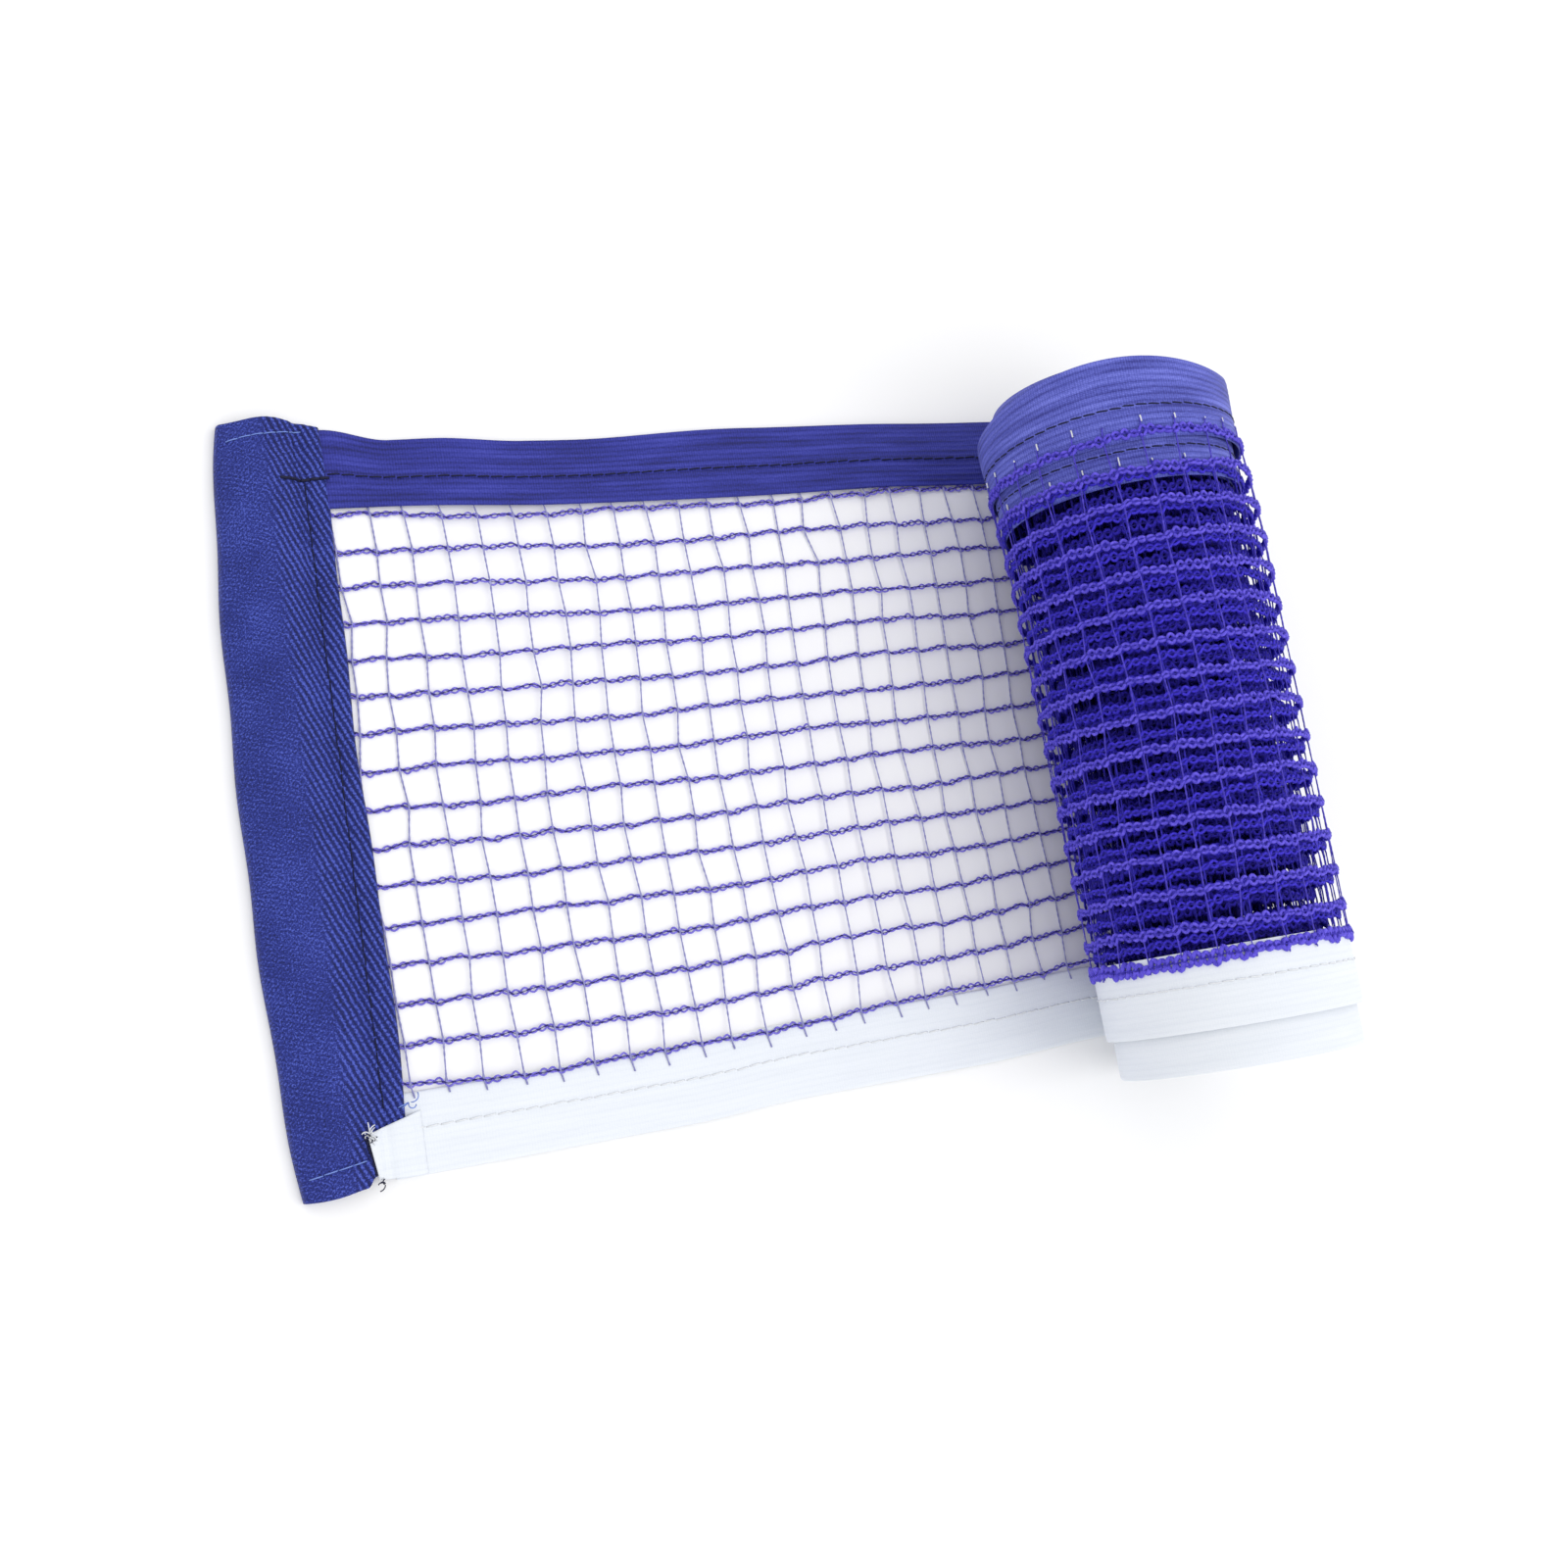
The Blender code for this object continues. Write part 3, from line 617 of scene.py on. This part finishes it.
def add_uprights(shape, s0, s1, per_cell, sides):
    """The thin yarns across the rows, each slipped a little along every row it meets."""
    inner = np.linspace(0, ROWS - 1, (ROWS - 1) * per_cell + 1)
    ends = np.array([0.4, 0.8, 1.0])
    tip_low = MESH_HIGH + HIGH_TAIL - TIP
    for column in range(math.ceil(s0 / CELL_W), math.ceil(s1 / CELL_W)):
        tucked = turned_under(column * CELL_W)
        low = -LOW_TAIL * (1 - 0.8 * tucked) * TAILS[column + 1, 0] * ends[::-1]
        high = MESH_HIGH + HIGH_TAIL * TAILS[column + 1, 1] * ends
        y = np.concatenate([low, inner * CELL_H, high])
        rows = np.clip(y / CELL_H, 0, ROWS - 1)
        beyond = y - np.clip(y, 0, MESH_HIGH)
        s = column * CELL_W + np.interp(rows, np.arange(ROWS), NODE_DX[column + 1]) - 0.2 * beyond
        at_row = np.clip(np.cos(rows * TURN), 0, 1) ** 3 * (beyond == 0)
        h = netting_mid(s, y) + UPRIGHT_RISE * at_row - 0.1 * MM * (y < 0)
        up = up_from_cloth(np.full(len(y), column * CELL_W))[None]
        for ply in (0, 1):
            twist = y / UPRIGHT_TWIST * TURN + ply * math.pi
            apart = UPRIGHT_YARN * 0.75
            path = on_cloth(s + apart * np.cos(twist), y, h + apart * 0.5 * np.sin(twist), mesh_drift)
            radius = UPRIGHT_YARN * (1 + 0.7 * at_row)
            add_threads(shape, path[None], up, radius[None], sides)
        # The top of each upright is drawn in the pale thread: a painted highlight on its cut end.
        tip_y = np.array([tip_low, y[-1]])
        tip = on_cloth(np.full(2, s[-1]), tip_y, np.full(2, h[-1] - 0.05 * MM), mesh_drift)
        if y[-1] > tip_low + 0.2 * MM:
            add_threads(shape, tip[None], up[:, :2], UPRIGHT_YARN * 1.5, sides, 1)


def netting(name, yarn, s0, s1, per_loop, sides, per_cell, full):
    """A stretch of netting as two pieces, its rows and its uprights, in one of the yarn's copies painted
    for the light where it lies.
    """
    rows = Shape()
    add_rows(rows, s0, s1, per_loop, sides, full)
    uprights = Shape()
    add_uprights(uprights, s0, s1, per_cell, sides)
    # The uprights' second look is the pale thread of their tips, a painted highlight.
    return (rows.piece(f"netting_rows_{name}", f"row_{yarn}", f"knot_{yarn}"),
            uprights.piece(f"netting_uprights_{name}", f"upright_{yarn}", "pale_thread"))


# ------------------------------------------------------------------ tapes
END_RING = 0.02 * MM            # a ring this close to a cut keeps the cap out of the shading
ROUNDING = 10                   # the higher, the squarer a tape's edges


def edge_swell(u):
    """Thins a tape to a rounded edge at u = 0 and 1."""
    return np.sqrt(np.maximum(1 - np.abs(2 * u - 1) ** ROUNDING, 0.0)) * 0.9 + 0.1


def ribbon(name, looks, s, y0, y1, mid, thick, drift, ribbed=True):
    """A folded tape along s: ribbed on both faces, with rounded edges and closed ends."""
    s = np.concatenate([s[:1], s[:1] + END_RING, s[1:-1], s[-1:] - END_RING, s[-1:]])
    across = RIBS * 6 if ribbed else 12
    u = (1 - np.cos(np.linspace(0, math.pi, across))) / 2
    u = 0.25 * u + 0.75 * np.linspace(0, 1, across)
    rib = RIB_DEPTH[looks[0]] * np.cos(u * TURN * RIBS) if ribbed else 0.0
    half = (thick / 2 + rib) * edge_swell(u)
    y = (y0 + (y1 - y0) * u)[None, :] + 0.0 * s[:, None]
    grid = s[:, None] + 0.0 * y
    middle = mid(grid, y)
    upper = on_cloth(grid, y, middle + half, drift)
    lower = on_cloth(grid, y, middle - half, drift)
    verts = np.concatenate([lower, upper[:, ::-1]], axis=1)
    places = np.stack([np.concatenate([grid, grid[:, ::-1]], axis=1),
                       np.concatenate([y, y[:, ::-1]], axis=1)], axis=-1) / MM
    quads = ring_quads(1, len(s), 2 * across)[..., ::-1]
    # The lower faces take the last look; the band's is its lighter back, painted light where the back
    # faces up on the roll.
    under = (np.arange(2 * across) < across) * (len(looks) - 1)
    shape = Shape()
    shape.add(verts, places, quads, [cap[:, ::-1] for cap in end_caps(1, len(s), 2 * across)],
              np.broadcast_to(under, quads.shape[:-1]))
    return shape.piece(name, *looks)


def stitches(name, look, s, y, h, side, drift):
    """Machine stitches, short threads that dip into the cloth's face (side 1) or back (-1)."""
    t = np.linspace(-0.5, 0.5, 6)
    dip = STITCH_ARCH * (1 - (2 * np.abs(t)) ** 4) - STITCH_SUNK
    along = s[:, None] + t * STITCH * STITCH_FILL
    stray = RNG.normal(0, 0.05 * MM, len(s))[:, None] + 0.07 * MM * np.sin(t * TURN / 2)
    shape = Shape()
    add_threads(shape, on_cloth(along, y + stray, h + side * dip, drift), up_from_cloth(along),
                SEAM_THREAD, 6)
    return shape.piece(name, look)


def seam_places(s0, s1):
    """The stitches' middles between two places; neighbouring stretches share one rhythm."""
    first, last = (math.ceil(s / STITCH - 0.5) for s in (s0, s1))
    return (np.arange(first, last) + 0.5) * STITCH


# ------------------------------------------------------------------ the left sleeve
STRIP_TOP = 1.5 * MM
STRIP_LEFT = -5.6 * MM
WALL = 0.75 * MM
HEM_RISE = 0.35 * MM            # the turned-in hems' extra thickness
HEM_SHARE = 0.030               # each hem's share of the sleeve's length
SEAM_SINK = 0.30 * MM           # the seam pulls the cloth in by this much
SEAM_SPREAD = 0.8 * MM
CORNER_CUT = 4.6 * MM           # the lower corner is cut off under the tab
TAB_LEFT = -8.2 * MM
TAB_RIGHT = 2.2 * MM
TAB_TOP = -8.6 * MM             # the tab's upper left corner
TAB_BOTTOM = TAPE_LOW - 2 * MM
TAB_RISE = 2.8 * MM             # its cut edge climbs this far to the right


def sleeve_left(y):
    """The folded edge bows out at mid height and waves a little."""
    t = (y - SLEEVE_MIDDLE) / (SLEEVE_HIGH - SLEEVE_MIDDLE)
    bow = np.where(t > 0, 3.9, 3.0) * np.abs(t) ** 3
    return SLEEVE_LEFT + (bow + 0.22 * np.sin(y * 190.0) + 0.12 * np.sin(y * 71.0 + 1.0)) * MM


def sleeve_right(y):
    """The sewn edge waves more than the fold."""
    return (-0.5 + 0.35 * np.sin(y * 66.0 + 0.4) + 0.18 * np.sin(y * 170.0)) * MM


def sleeve_y(u, v):
    """Cloth y over the sleeve's width u and length v; the hems stray and one corner is cut."""
    high = (-0.8 + 0.5 * np.sin(u * 7.5 - 2.2) - 0.6 * smooth(u, 0.82, 1.0)) * MM
    low = (0.5 - 0.35 * np.sin(u * 6.0 + 0.5) + 0.3 * smooth(u, 0.3, 0.6)
           + CORNER_CUT / MM * smooth(u, 0.58, 0.76)) * MM
    return SLEEVE_LOW + (SLEEVE_HIGH - SLEEVE_LOW) * v + low * (1 - v) ** 8 + high * v**8


def puff(u):
    """The pocket's arch over the sleeve's width, 0 at its two edges."""
    return np.sin(np.pi * np.clip(u, 0, 1)) ** 0.62


def sleeve_top(x, y):
    """Height of the sleeve's upper face over cloth place x, y."""
    left = sleeve_left(y)
    u = (x - left) / (STRIP_LEFT - left)
    wrinkle = 0.20 * MM * np.sin(y * 48 + x * 90) * puff(u) + 0.10 * MM * np.sin(y * 105 - x * 160)
    near_hem = smooth(np.minimum(y - SLEEVE_LOW, SLEEVE_HIGH - y), 0.0, 14 * MM)
    arch = (SLEEVE_PUFF * 0.72 - STRIP_TOP) * puff(u) * (0.6 + 0.4 * near_hem)
    sunk = SEAM_SINK * np.exp(-((x - SLEEVE_SEAM) / SEAM_SPREAD) ** 2)
    return STRIP_TOP + arch + wrinkle * near_hem - sunk


def twill_relief(x, y):
    """Bold diagonal ribs on the half towards the sewn edge, fine ones near the fold."""
    across = x * math.cos(BOLD_LEAN) + y * math.sin(BOLD_LEAN)
    along = x * math.sin(BOLD_LEAN) - y * math.cos(BOLD_LEAN)
    bold = 0.05 * np.sin(across / BOLD_PITCH * TURN) + 0.03 * np.sin(along / BEAD_PITCH * TURN)
    fine = 0.02 * np.sin((FINE_SLOPE * x + y) / FINE_PITCH * TURN)
    edge = smooth(x, BOLD_EDGE - 0.8 * MM, BOLD_EDGE + 1.4 * MM)
    return (edge * bold + (1 - edge) * fine) * MM


def sleeve_piece():
    """The sleeve as a folded tube: an upper and a lower face round an open pocket."""
    stations = 460
    v = np.linspace(0, 1, stations)[:, None]
    u = np.linspace(0, 1, 84)
    y = sleeve_y(u, v)
    left = sleeve_left(y)
    x = left + (sleeve_right(y) - left) * u
    edge = np.sqrt(np.clip(np.minimum(u, 1 - u) / 0.03, 0, 1))
    from_end = np.minimum(v, 1 - v)
    hem = HEM_RISE * smooth(from_end, 0.0, 0.002) * (1 - smooth(from_end, HEM_SHARE, HEM_SHARE + 0.003))
    lift = sleeve_top(x, y) - 0.5 * MM + twill_relief(x, y) + hem
    upper = np.stack([x, y, 0.5 * MM + lift * edge], axis=-1)
    pick = np.round(np.linspace(len(u) - 1, 0, 28)[1:-1]).astype(int)
    floor = 0.05 * MM + 0.03 * MM * np.cos((0.5 * x + y)[:, pick] / BOLD_PITCH * TURN)
    lower = np.stack([x[:, pick], y[:, pick], floor], axis=-1)
    outer = np.concatenate([upper, lower], axis=1)

    inside = 1.3 * WALL
    w = np.linspace(0, 1, 40)
    xi = left[:, :1] + inside + (STRIP_LEFT - WALL - left[:, :1] - inside) * w
    yi = sleeve_y((xi - left[:, :1]) / (sleeve_right(y[:, -1:]) - left[:, :1]), v)
    roof = np.maximum(sleeve_top(xi, yi) - WALL, WALL * 1.6)
    inner_top = np.stack([xi, yi, roof], axis=-1)
    inner_low = np.stack([xi[:, ::-1], yi[:, ::-1], WALL + 0 * xi], axis=-1)
    inner = np.concatenate([inner_top, inner_low[:, 1:-1]], axis=1)

    shape = Shape()
    shape.add(outer + CLOTH_ORIGIN, outer[..., :2] / MM,
              ring_quads(1, stations, outer.shape[1])[..., ::-1])
    shape.add(inner + CLOTH_ORIGIN, inner[..., :2] / MM, ring_quads(1, stations, inner.shape[1]))
    add_rims(shape, outer.shape[1], inner.shape[1], stations)
    return shape.piece("left_sleeve_cloth", "twill")


def add_rims(shape, outer_count, inner_count, stations):
    """Joins the outer and inner skins at both mouths of the pocket."""
    for station in (0, stations - 1):
        outer_start = station * outer_count
        inner_start = stations * outer_count + station * inner_count
        faces = {3: [], 4: []}
        for k in range(outer_count):
            j0 = k * inner_count // outer_count
            j1 = (k + 1) * inner_count // outer_count
            face = [outer_start + k, outer_start + (k + 1) % outer_count,
                    inner_start + j1 % inner_count, inner_start + j0 % inner_count]
            face = face[:3] if j0 == j1 else face
            faces[len(face)].append(face if station == 0 else face[::-1])
        for group in faces.values():
            shape.caps.append(np.array(group))
            shape.cap_slots.append(np.zeros(len(group)))


def on_sleeve(x, y, rise):
    """World points above the sleeve's upper face."""
    return np.stack([x, y, sleeve_top(x, y) + rise], axis=-1) + CLOTH_ORIGIN


def flat_up(path):
    """World up, for every point of a path."""
    return np.broadcast_to([0.0, 0.0, 1.0], path.shape)


def sleeve_stitches(name, look, start, end, count, thick, rise=0.0):
    """Stitches over the sleeve between two cloth places."""
    t = np.linspace(-0.5, 0.5, 6)
    along = (np.arange(count)[:, None] + 0.5 + 0.92 * t) / count
    x = start[0] + (end[0] - start[0]) * along + RNG.normal(0, 0.05 * MM, (count, 1))
    y = start[1] + (end[1] - start[1]) * along + RNG.normal(0, 0.04 * MM, (count, 1))
    dip = 0.20 * MM * (1 - (2 * np.abs(t)) ** 4)
    path = on_sleeve(x, y, rise + dip)
    shape = Shape()
    add_threads(shape, path, flat_up(path), thick, 6)
    return shape.piece(name, look)


def frayed_ends(name, look, centre, count, reach):
    """Short loose thread ends that curl out of a cut edge."""
    shape = Shape()
    t = np.linspace(0, 1, 9)
    for _ in range(count):
        angle = RNG.uniform(0, TURN) + RNG.uniform(-3.4, 3.4) * t
        size = reach * RNG.uniform(0.5, 1.0)
        x = centre[0] + np.cumsum(np.cos(angle)) * size / 9
        y = centre[1] + np.cumsum(np.sin(angle)) * size / 9
        rise = 0.8 * MM + 0.5 * MM * np.sin(math.pi * t) * RNG.uniform(0.5, 1.3)
        path = on_sleeve(x, y, rise)[None]
        add_threads(shape, path, flat_up(path), FINE_THREAD, 5)
    return shape.piece(name, look)


def tab_piece():
    """The white tape's cut end, laid over the sleeve's lower corner."""
    x = np.linspace(TAB_LEFT, TAB_RIGHT, 22)
    u = np.linspace(0, 1, RIBS * 4)
    t = (x - TAB_LEFT) / (TAB_RIGHT - TAB_LEFT)
    high = TAB_TOP + TAB_RISE * t
    low = TAB_BOTTOM - 0.5 * MM * t
    y = low[:, None] + (high - low)[:, None] * u
    xx = x[:, None] + (1 - smooth(t, 0.0, 0.5))[:, None] * (1 - u) * 1.3 * MM
    seated = smooth(xx, -0.6 * MM, 2.2 * MM)
    base = sleeve_top(np.minimum(xx, -0.4 * MM), np.maximum(y, SLEEVE_LOW + 3 * MM)) * (1 - seated)
    mid = base + TAPE_THICK * seated + 0.12 * MM + TAPE_THICK / 2
    half = (TAPE_THICK / 2 + RIB_DEPTH["tape"] * np.cos(u * TURN * RIBS)) * edge_swell(u)
    half = half * (1 - 0.9 * smooth(t, 0.7, 1.0))[:, None]
    mid = mid - (TAPE_THICK / 2) * smooth(t, 0.7, 1.0)[:, None]
    upper = np.stack([xx, y, mid + half], axis=-1)
    lower = np.stack([xx, y, mid - half], axis=-1)
    verts = np.concatenate([lower, upper[:, ::-1]], axis=1)
    shape = Shape()
    shape.add(verts + CLOTH_ORIGIN, verts[..., :2] / MM,
              ring_quads(1, len(x), verts.shape[1])[..., ::-1],
              [cap[:, ::-1] for cap in end_caps(1, len(x), verts.shape[1])])
    return shape.piece("white_tape_end_cloth", "tape")


# ------------------------------------------------------------------ the assembly
def build_run():
    """The flat run in three parts, split at the run's cuts."""
    for part, s0, s1 in zip(RUN_PARTS, RUN_CUTS[:-1], RUN_CUTS[1:]):
        name, parent, child, start, end = part
        stations = np.linspace(s0, s1, int((s1 - s0) / (1.1 * MM)) + 2)
        rows, uprights = netting(name, "run", s0, s1, 6, 6, 6, 1.0)
        band = ribbon(f"blue_band_cloth_{name}", BAND_LOOKS, stations, BAND_LOW, BAND_HIGH,
                      band_mid, TAPE_THICK, band_drift)
        tape = ribbon(f"white_tape_cloth_{name}", ("tape",), stations, TAPE_LOW, TAPE_HIGH,
                      tape_mid, TAPE_THICK, tape_drift)
        seam_s = seam_places(max(s0, 0.5 * MM), s1)
        band_seam = stitches(f"band_stitches_{name}", "dark_thread", seam_s, BAND_SEAM,
                             band_mid(0.0, BAND_SEAM) + TAPE_THICK / 2 + 0.12 * MM, 1, band_drift)
        tape_seam = stitches(f"tape_stitches_{name}", "pale_thread", seam_s, TAPE_SEAM,
                             LAYER_LOW + TAPE_THICK / 2 + 0.06 * MM, 1, tape_drift)
        for piece, node, slot in ((rows, "netting", "netting"), (uprights, None, "netting"),
                                  (band, "blue_band", "blue_band"),
                                  (tape, "white_tape", "white_tape"),
                                  (band_seam, "band_seam", "dark_thread"),
                                  (tape_seam, "tape_seam", "pale_thread")):
            if node:
                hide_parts(f"{node}_{name}")
            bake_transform(piece)


# Each length of the roll: first and last turn, stations in an eye, sides of a yarn, stations
# in a cell of an upright, and how full the yarns are. Deeper turns show less and get coarser.
ROLL_PARTS = (
    (0.0, 0.55, 6, 5, 6, 1.75), (0.55, 1.1, 6, 5, 6, 1.75), (1.1, 1.6, 4, 5, 4, 1.6),
    (1.6, 2.1, 4, 5, 4, 1.6), (2.1, 3.1, 3, 4, 3, 2.0), (3.1, 4.6, 3, 3, 2, 2.3),
    (4.6, 7.0, 3, 3, 2, 2.3), (7.0, 10.5, 2, 3, 2, 2.3), (10.5, WOUND_TURNS, 2, 3, 2, 2.3),
)
OUTER_TURNS = 1.2               # the turns whose yarn is in full light


def build_roll():
    """The wound cloth, its seams and the right sleeve in its core."""
    for index, (t0, t1, per_loop, sides, per_cell, full) in enumerate(ROLL_PARTS):
        s0 = ROLL_S + wound_length(t0 * TURN)
        s1 = ROLL_S + wound_length(t1 * TURN)
        label = f"roll_{index + 1}"
        # The outer turns take the yarn copy painted in full light, the deeper ones the copy painted in
        # shade.
        yarn = "outer" if t1 < OUTER_TURNS else "inner"
        rows, uprights = netting(label, yarn, s0, s1, per_loop, sides, per_cell, full)
        s = ROLL_S + wound_length(np.linspace(t0, t1, int((t1 - t0) * 96) + 2) * TURN)
        band = ribbon(f"blue_band_cloth_{label}", BAND_LOOKS, s, BAND_LOW, BAND_HIGH,
                      band_mid, TAPE_THICK, band_drift, t0 < 3)
        tape = ribbon(f"white_tape_cloth_{label}", ("tape",), s, TAPE_LOW, TAPE_HIGH,
                      tape_mid, TAPE_THICK, tape_drift, t0 < 3)
        for piece, node, slot in ((rows, "netting_roll", "netting"), (uprights, None, "netting"),
                                  (band, "blue_band_roll", "blue_band"),
                                  (tape, "white_tape_roll", "white_tape")):
            if node and index == 0:
                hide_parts(node)
            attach(piece, "roll")
    build_roll_seams()
    build_core_sleeve()


def build_roll_seams():
    """The seams show on the roll's outer turns, from the cloth's back."""
    seam_s = seam_places(ROLL_S, ROLL_S + wound_length(1.9 * TURN))
    band_seam = stitches("band_stitches_roll", "dark_thread", seam_s, BAND_SEAM,
                         LAYER_HIGH - TAPE_THICK / 2 - 0.06 * MM, -1, band_drift)
    tape_seam = stitches("tape_stitches_roll", "pale_thread", seam_s, TAPE_SEAM,
                         tape_mid(seam_s, TAPE_SEAM)[:, None] - TAPE_THICK / 2 - 0.06 * MM, -1, tape_drift)
    for piece, node, slot in ((band_seam, "band_seam_roll", "dark_thread"),
                              (tape_seam, "tape_seam_roll", "pale_thread")):
        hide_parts(node)
        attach(piece, "roll")


def build_core_sleeve():
    """The right sleeve, flat and wound round the roll's middle, with its two hems."""
    start = WOUND_TURNS + 0.05
    s = ROLL_S + wound_length(np.linspace(start, start + CORE_TURN, 60) * TURN)
    core = ribbon("right_sleeve_cloth", ("twill",), s, SLEEVE_LOW, SLEEVE_HIGH, core_mid,
                  CORE_THICK, no_drift, False)
    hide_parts("right_end_sleeve")
    pieces = [(core, "twill")]
    for label, y in (("lower", SLEEVE_LOW + HEM_INSET), ("upper", SLEEVE_HIGH - HEM_INSET)):
        hem = stitches(f"right_hem_stitches_{label}", "hem_thread", seam_places(s[0], s[-1]), y,
                       CORE_LAYER + CORE_THICK / 2 + 0.05 * MM, 1, no_drift)
        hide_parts(f"right_hem_thread_{label}")
        pieces.append((hem, "hem_thread"))
    for piece, slot in pieces:
        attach(piece, "roll")


def build_sleeve():
    """The left sleeve with its stitching, the tape's end sewn over it, and loose threads."""
    sleeve = sleeve_piece()
    seam = sleeve_stitches("left_sleeve_stitches", "dark_thread", (SLEEVE_SEAM, -4.5 * MM),
                           (SLEEVE_SEAM, BAND_SEAM - 0.8 * MM), 46, FINE_THREAD, -0.05 * MM)
    hem_high = sleeve_stitches("left_hem_stitches_upper", "hem_thread",
                               (SLEEVE_LEFT + 5.1 * MM, SLEEVE_HIGH - 5.45 * MM),
                               (-4.0 * MM, SLEEVE_HIGH - 2.95 * MM), 6, FINE_THREAD, HEM_RISE)
    hem_low = sleeve_stitches("left_hem_stitches_lower", "hem_thread",
                              (SLEEVE_LEFT + 4.3 * MM, SLEEVE_LOW + 4.45 * MM),
                              (TAB_LEFT - 0.6 * MM, SLEEVE_LOW + 6.05 * MM), 4, FINE_THREAD, HEM_RISE)
    tack = sleeve_stitches("bar_tack_stitches", "dark_thread", (-9.2 * MM, BAND_SEAM - 0.4 * MM),
                           (0.4 * MM, BAND_SEAM + 0.1 * MM), 5, 0.32 * MM)
    tab = tab_piece()
    # A dark line of short thick threads along the tab's left cut edge, reaching a little beyond it.
    tab_edge = sleeve_stitches("tab_edge_stitches", "dark_thread",
                               (TAB_LEFT - 0.3 * MM, TAB_TOP - 0.6 * MM),
                               (TAB_LEFT + 1.0 * MM, TAB_BOTTOM + 1.0 * MM), 5, 0.24 * MM, 0.2 * MM)
    corner = (TAB_LEFT + 0.3 * MM, TAB_TOP - 0.2 * MM)
    seam_end = (TAB_LEFT + 0.6 * MM, TAB_TOP - 0.6 * MM)
    low_corner = (TAB_LEFT + 2.2 * MM, TAB_BOTTOM - 0.8 * MM)
    frays = (("frayed_tape_threads", "pale_thread", corner, 14, 2.6 * MM),
             ("frayed_seam_threads", "dark_thread", seam_end, 5, 2.0 * MM),
             ("frayed_edge_threads", "hem_thread", (0.2 * MM, -4.0 * MM), 4, 3.0 * MM),
             ("frayed_corner_threads", "dark_thread", low_corner, 4, 1.8 * MM))
    pieces = [(sleeve, "left_end_sleeve", "twill"), (seam, "left_sleeve_seam", "dark_thread"),
              (hem_high, "left_hem_thread_upper", "hem_thread"),
              (hem_low, "left_hem_thread_lower", "hem_thread"), (tack, "bar_tack", "dark_thread"),
              (tab, "white_tape_end_tab", "white_tape"), (tab_edge, None, "dark_thread")]
    for name, look, centre, count, reach in frays:
        pieces.append((frayed_ends(name, look, centre, count, reach), None, look))
    for piece, node, slot in pieces:
        if node:
            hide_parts(node)
        if piece is not tab:
            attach(piece, "end_sleeve")
    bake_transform(tab)


# ------------------------------------------------------------------ camera, floor and light
CAMERA_EYE = np.array([-31.4, -2.3, 308.3]) * MM    # from the cloth's origin
CAMERA_AHEAD = (0.351, 0.152, -0.924)
CAMERA_UP = (0.104, 0.974, 0.200)
CAMERA_LENS = 36.0              # mm, on a sensor as wide
FLOOR_DROP = 0.05 * MM


def build_camera():
    """The photograph's viewing angle: high over the run, the roll to the right."""
    eye = CAMERA_EYE + CLOTH_ORIGIN
    ahead = Vector(CAMERA_AHEAD).normalized()
    side = ahead.cross(Vector(CAMERA_UP)).normalized()
    above = side.cross(ahead)
    camera = bpy.data.objects.new("camera", bpy.data.cameras.new("camera"))
    turn = Matrix((side, above, -ahead)).transposed().to_4x4()
    camera.matrix_world = Matrix.Translation(Vector(eye)) @ turn
    camera.data.lens = CAMERA_LENS
    camera.data.sensor_width = CAMERA_LENS
    camera.data.clip_start = 0.01
    bpy.context.scene.collection.objects.link(camera)
    bpy.context.scene.camera = camera


def build_floor():
    """A plain white table."""
    mesh = bpy.data.meshes.new("floor")
    size = 3.0
    mesh.from_pydata([(-size, -size, 0), (size, -size, 0), (size, size, 0), (-size, size, 0)], [],
                     [(0, 1, 2, 3)])
    floor = bpy.data.objects.new("floor", mesh)
    look = bpy.data.materials.new("white_table")
    look.use_nodes = True
    shader = look.node_tree.nodes["Principled BSDF"]
    shader.inputs["Base Color"].default_value = (0.92, 0.92, 0.925, 1)
    shader.inputs["Roughness"].default_value = 0.9
    shader.inputs["Specular IOR Level"].default_value = 0.1
    mesh.materials.append(look)
    floor.location.z = -FLOOR_DROP
    bpy.context.scene.collection.objects.link(floor)


def build_light():
    """Even white light, and a wide soft lamp from the upper right."""
    world = bpy.data.worlds.new("soft_white")
    bpy.context.scene.world = world
    world.use_nodes = True
    background = world.node_tree.nodes["Background"]
    background.inputs["Color"].default_value = (1.0, 1.0, 1.0, 1.0)
    background.inputs["Strength"].default_value = 1.0
    lamp = bpy.data.lights.new("window", "SUN")
    lamp.energy = 0.8
    lamp.angle = math.radians(50)
    holder = bpy.data.objects.new("window", lamp)
    holder.rotation_euler = Vector((-0.6, 0.25, -1.0)).to_track_quat("-Z", "Y").to_euler()
    bpy.context.scene.collection.objects.link(holder)
    bpy.context.scene.view_settings.view_transform = "Standard"


build_run()
build_roll()
build_sleeve()
build_camera()
build_floor()
build_light()
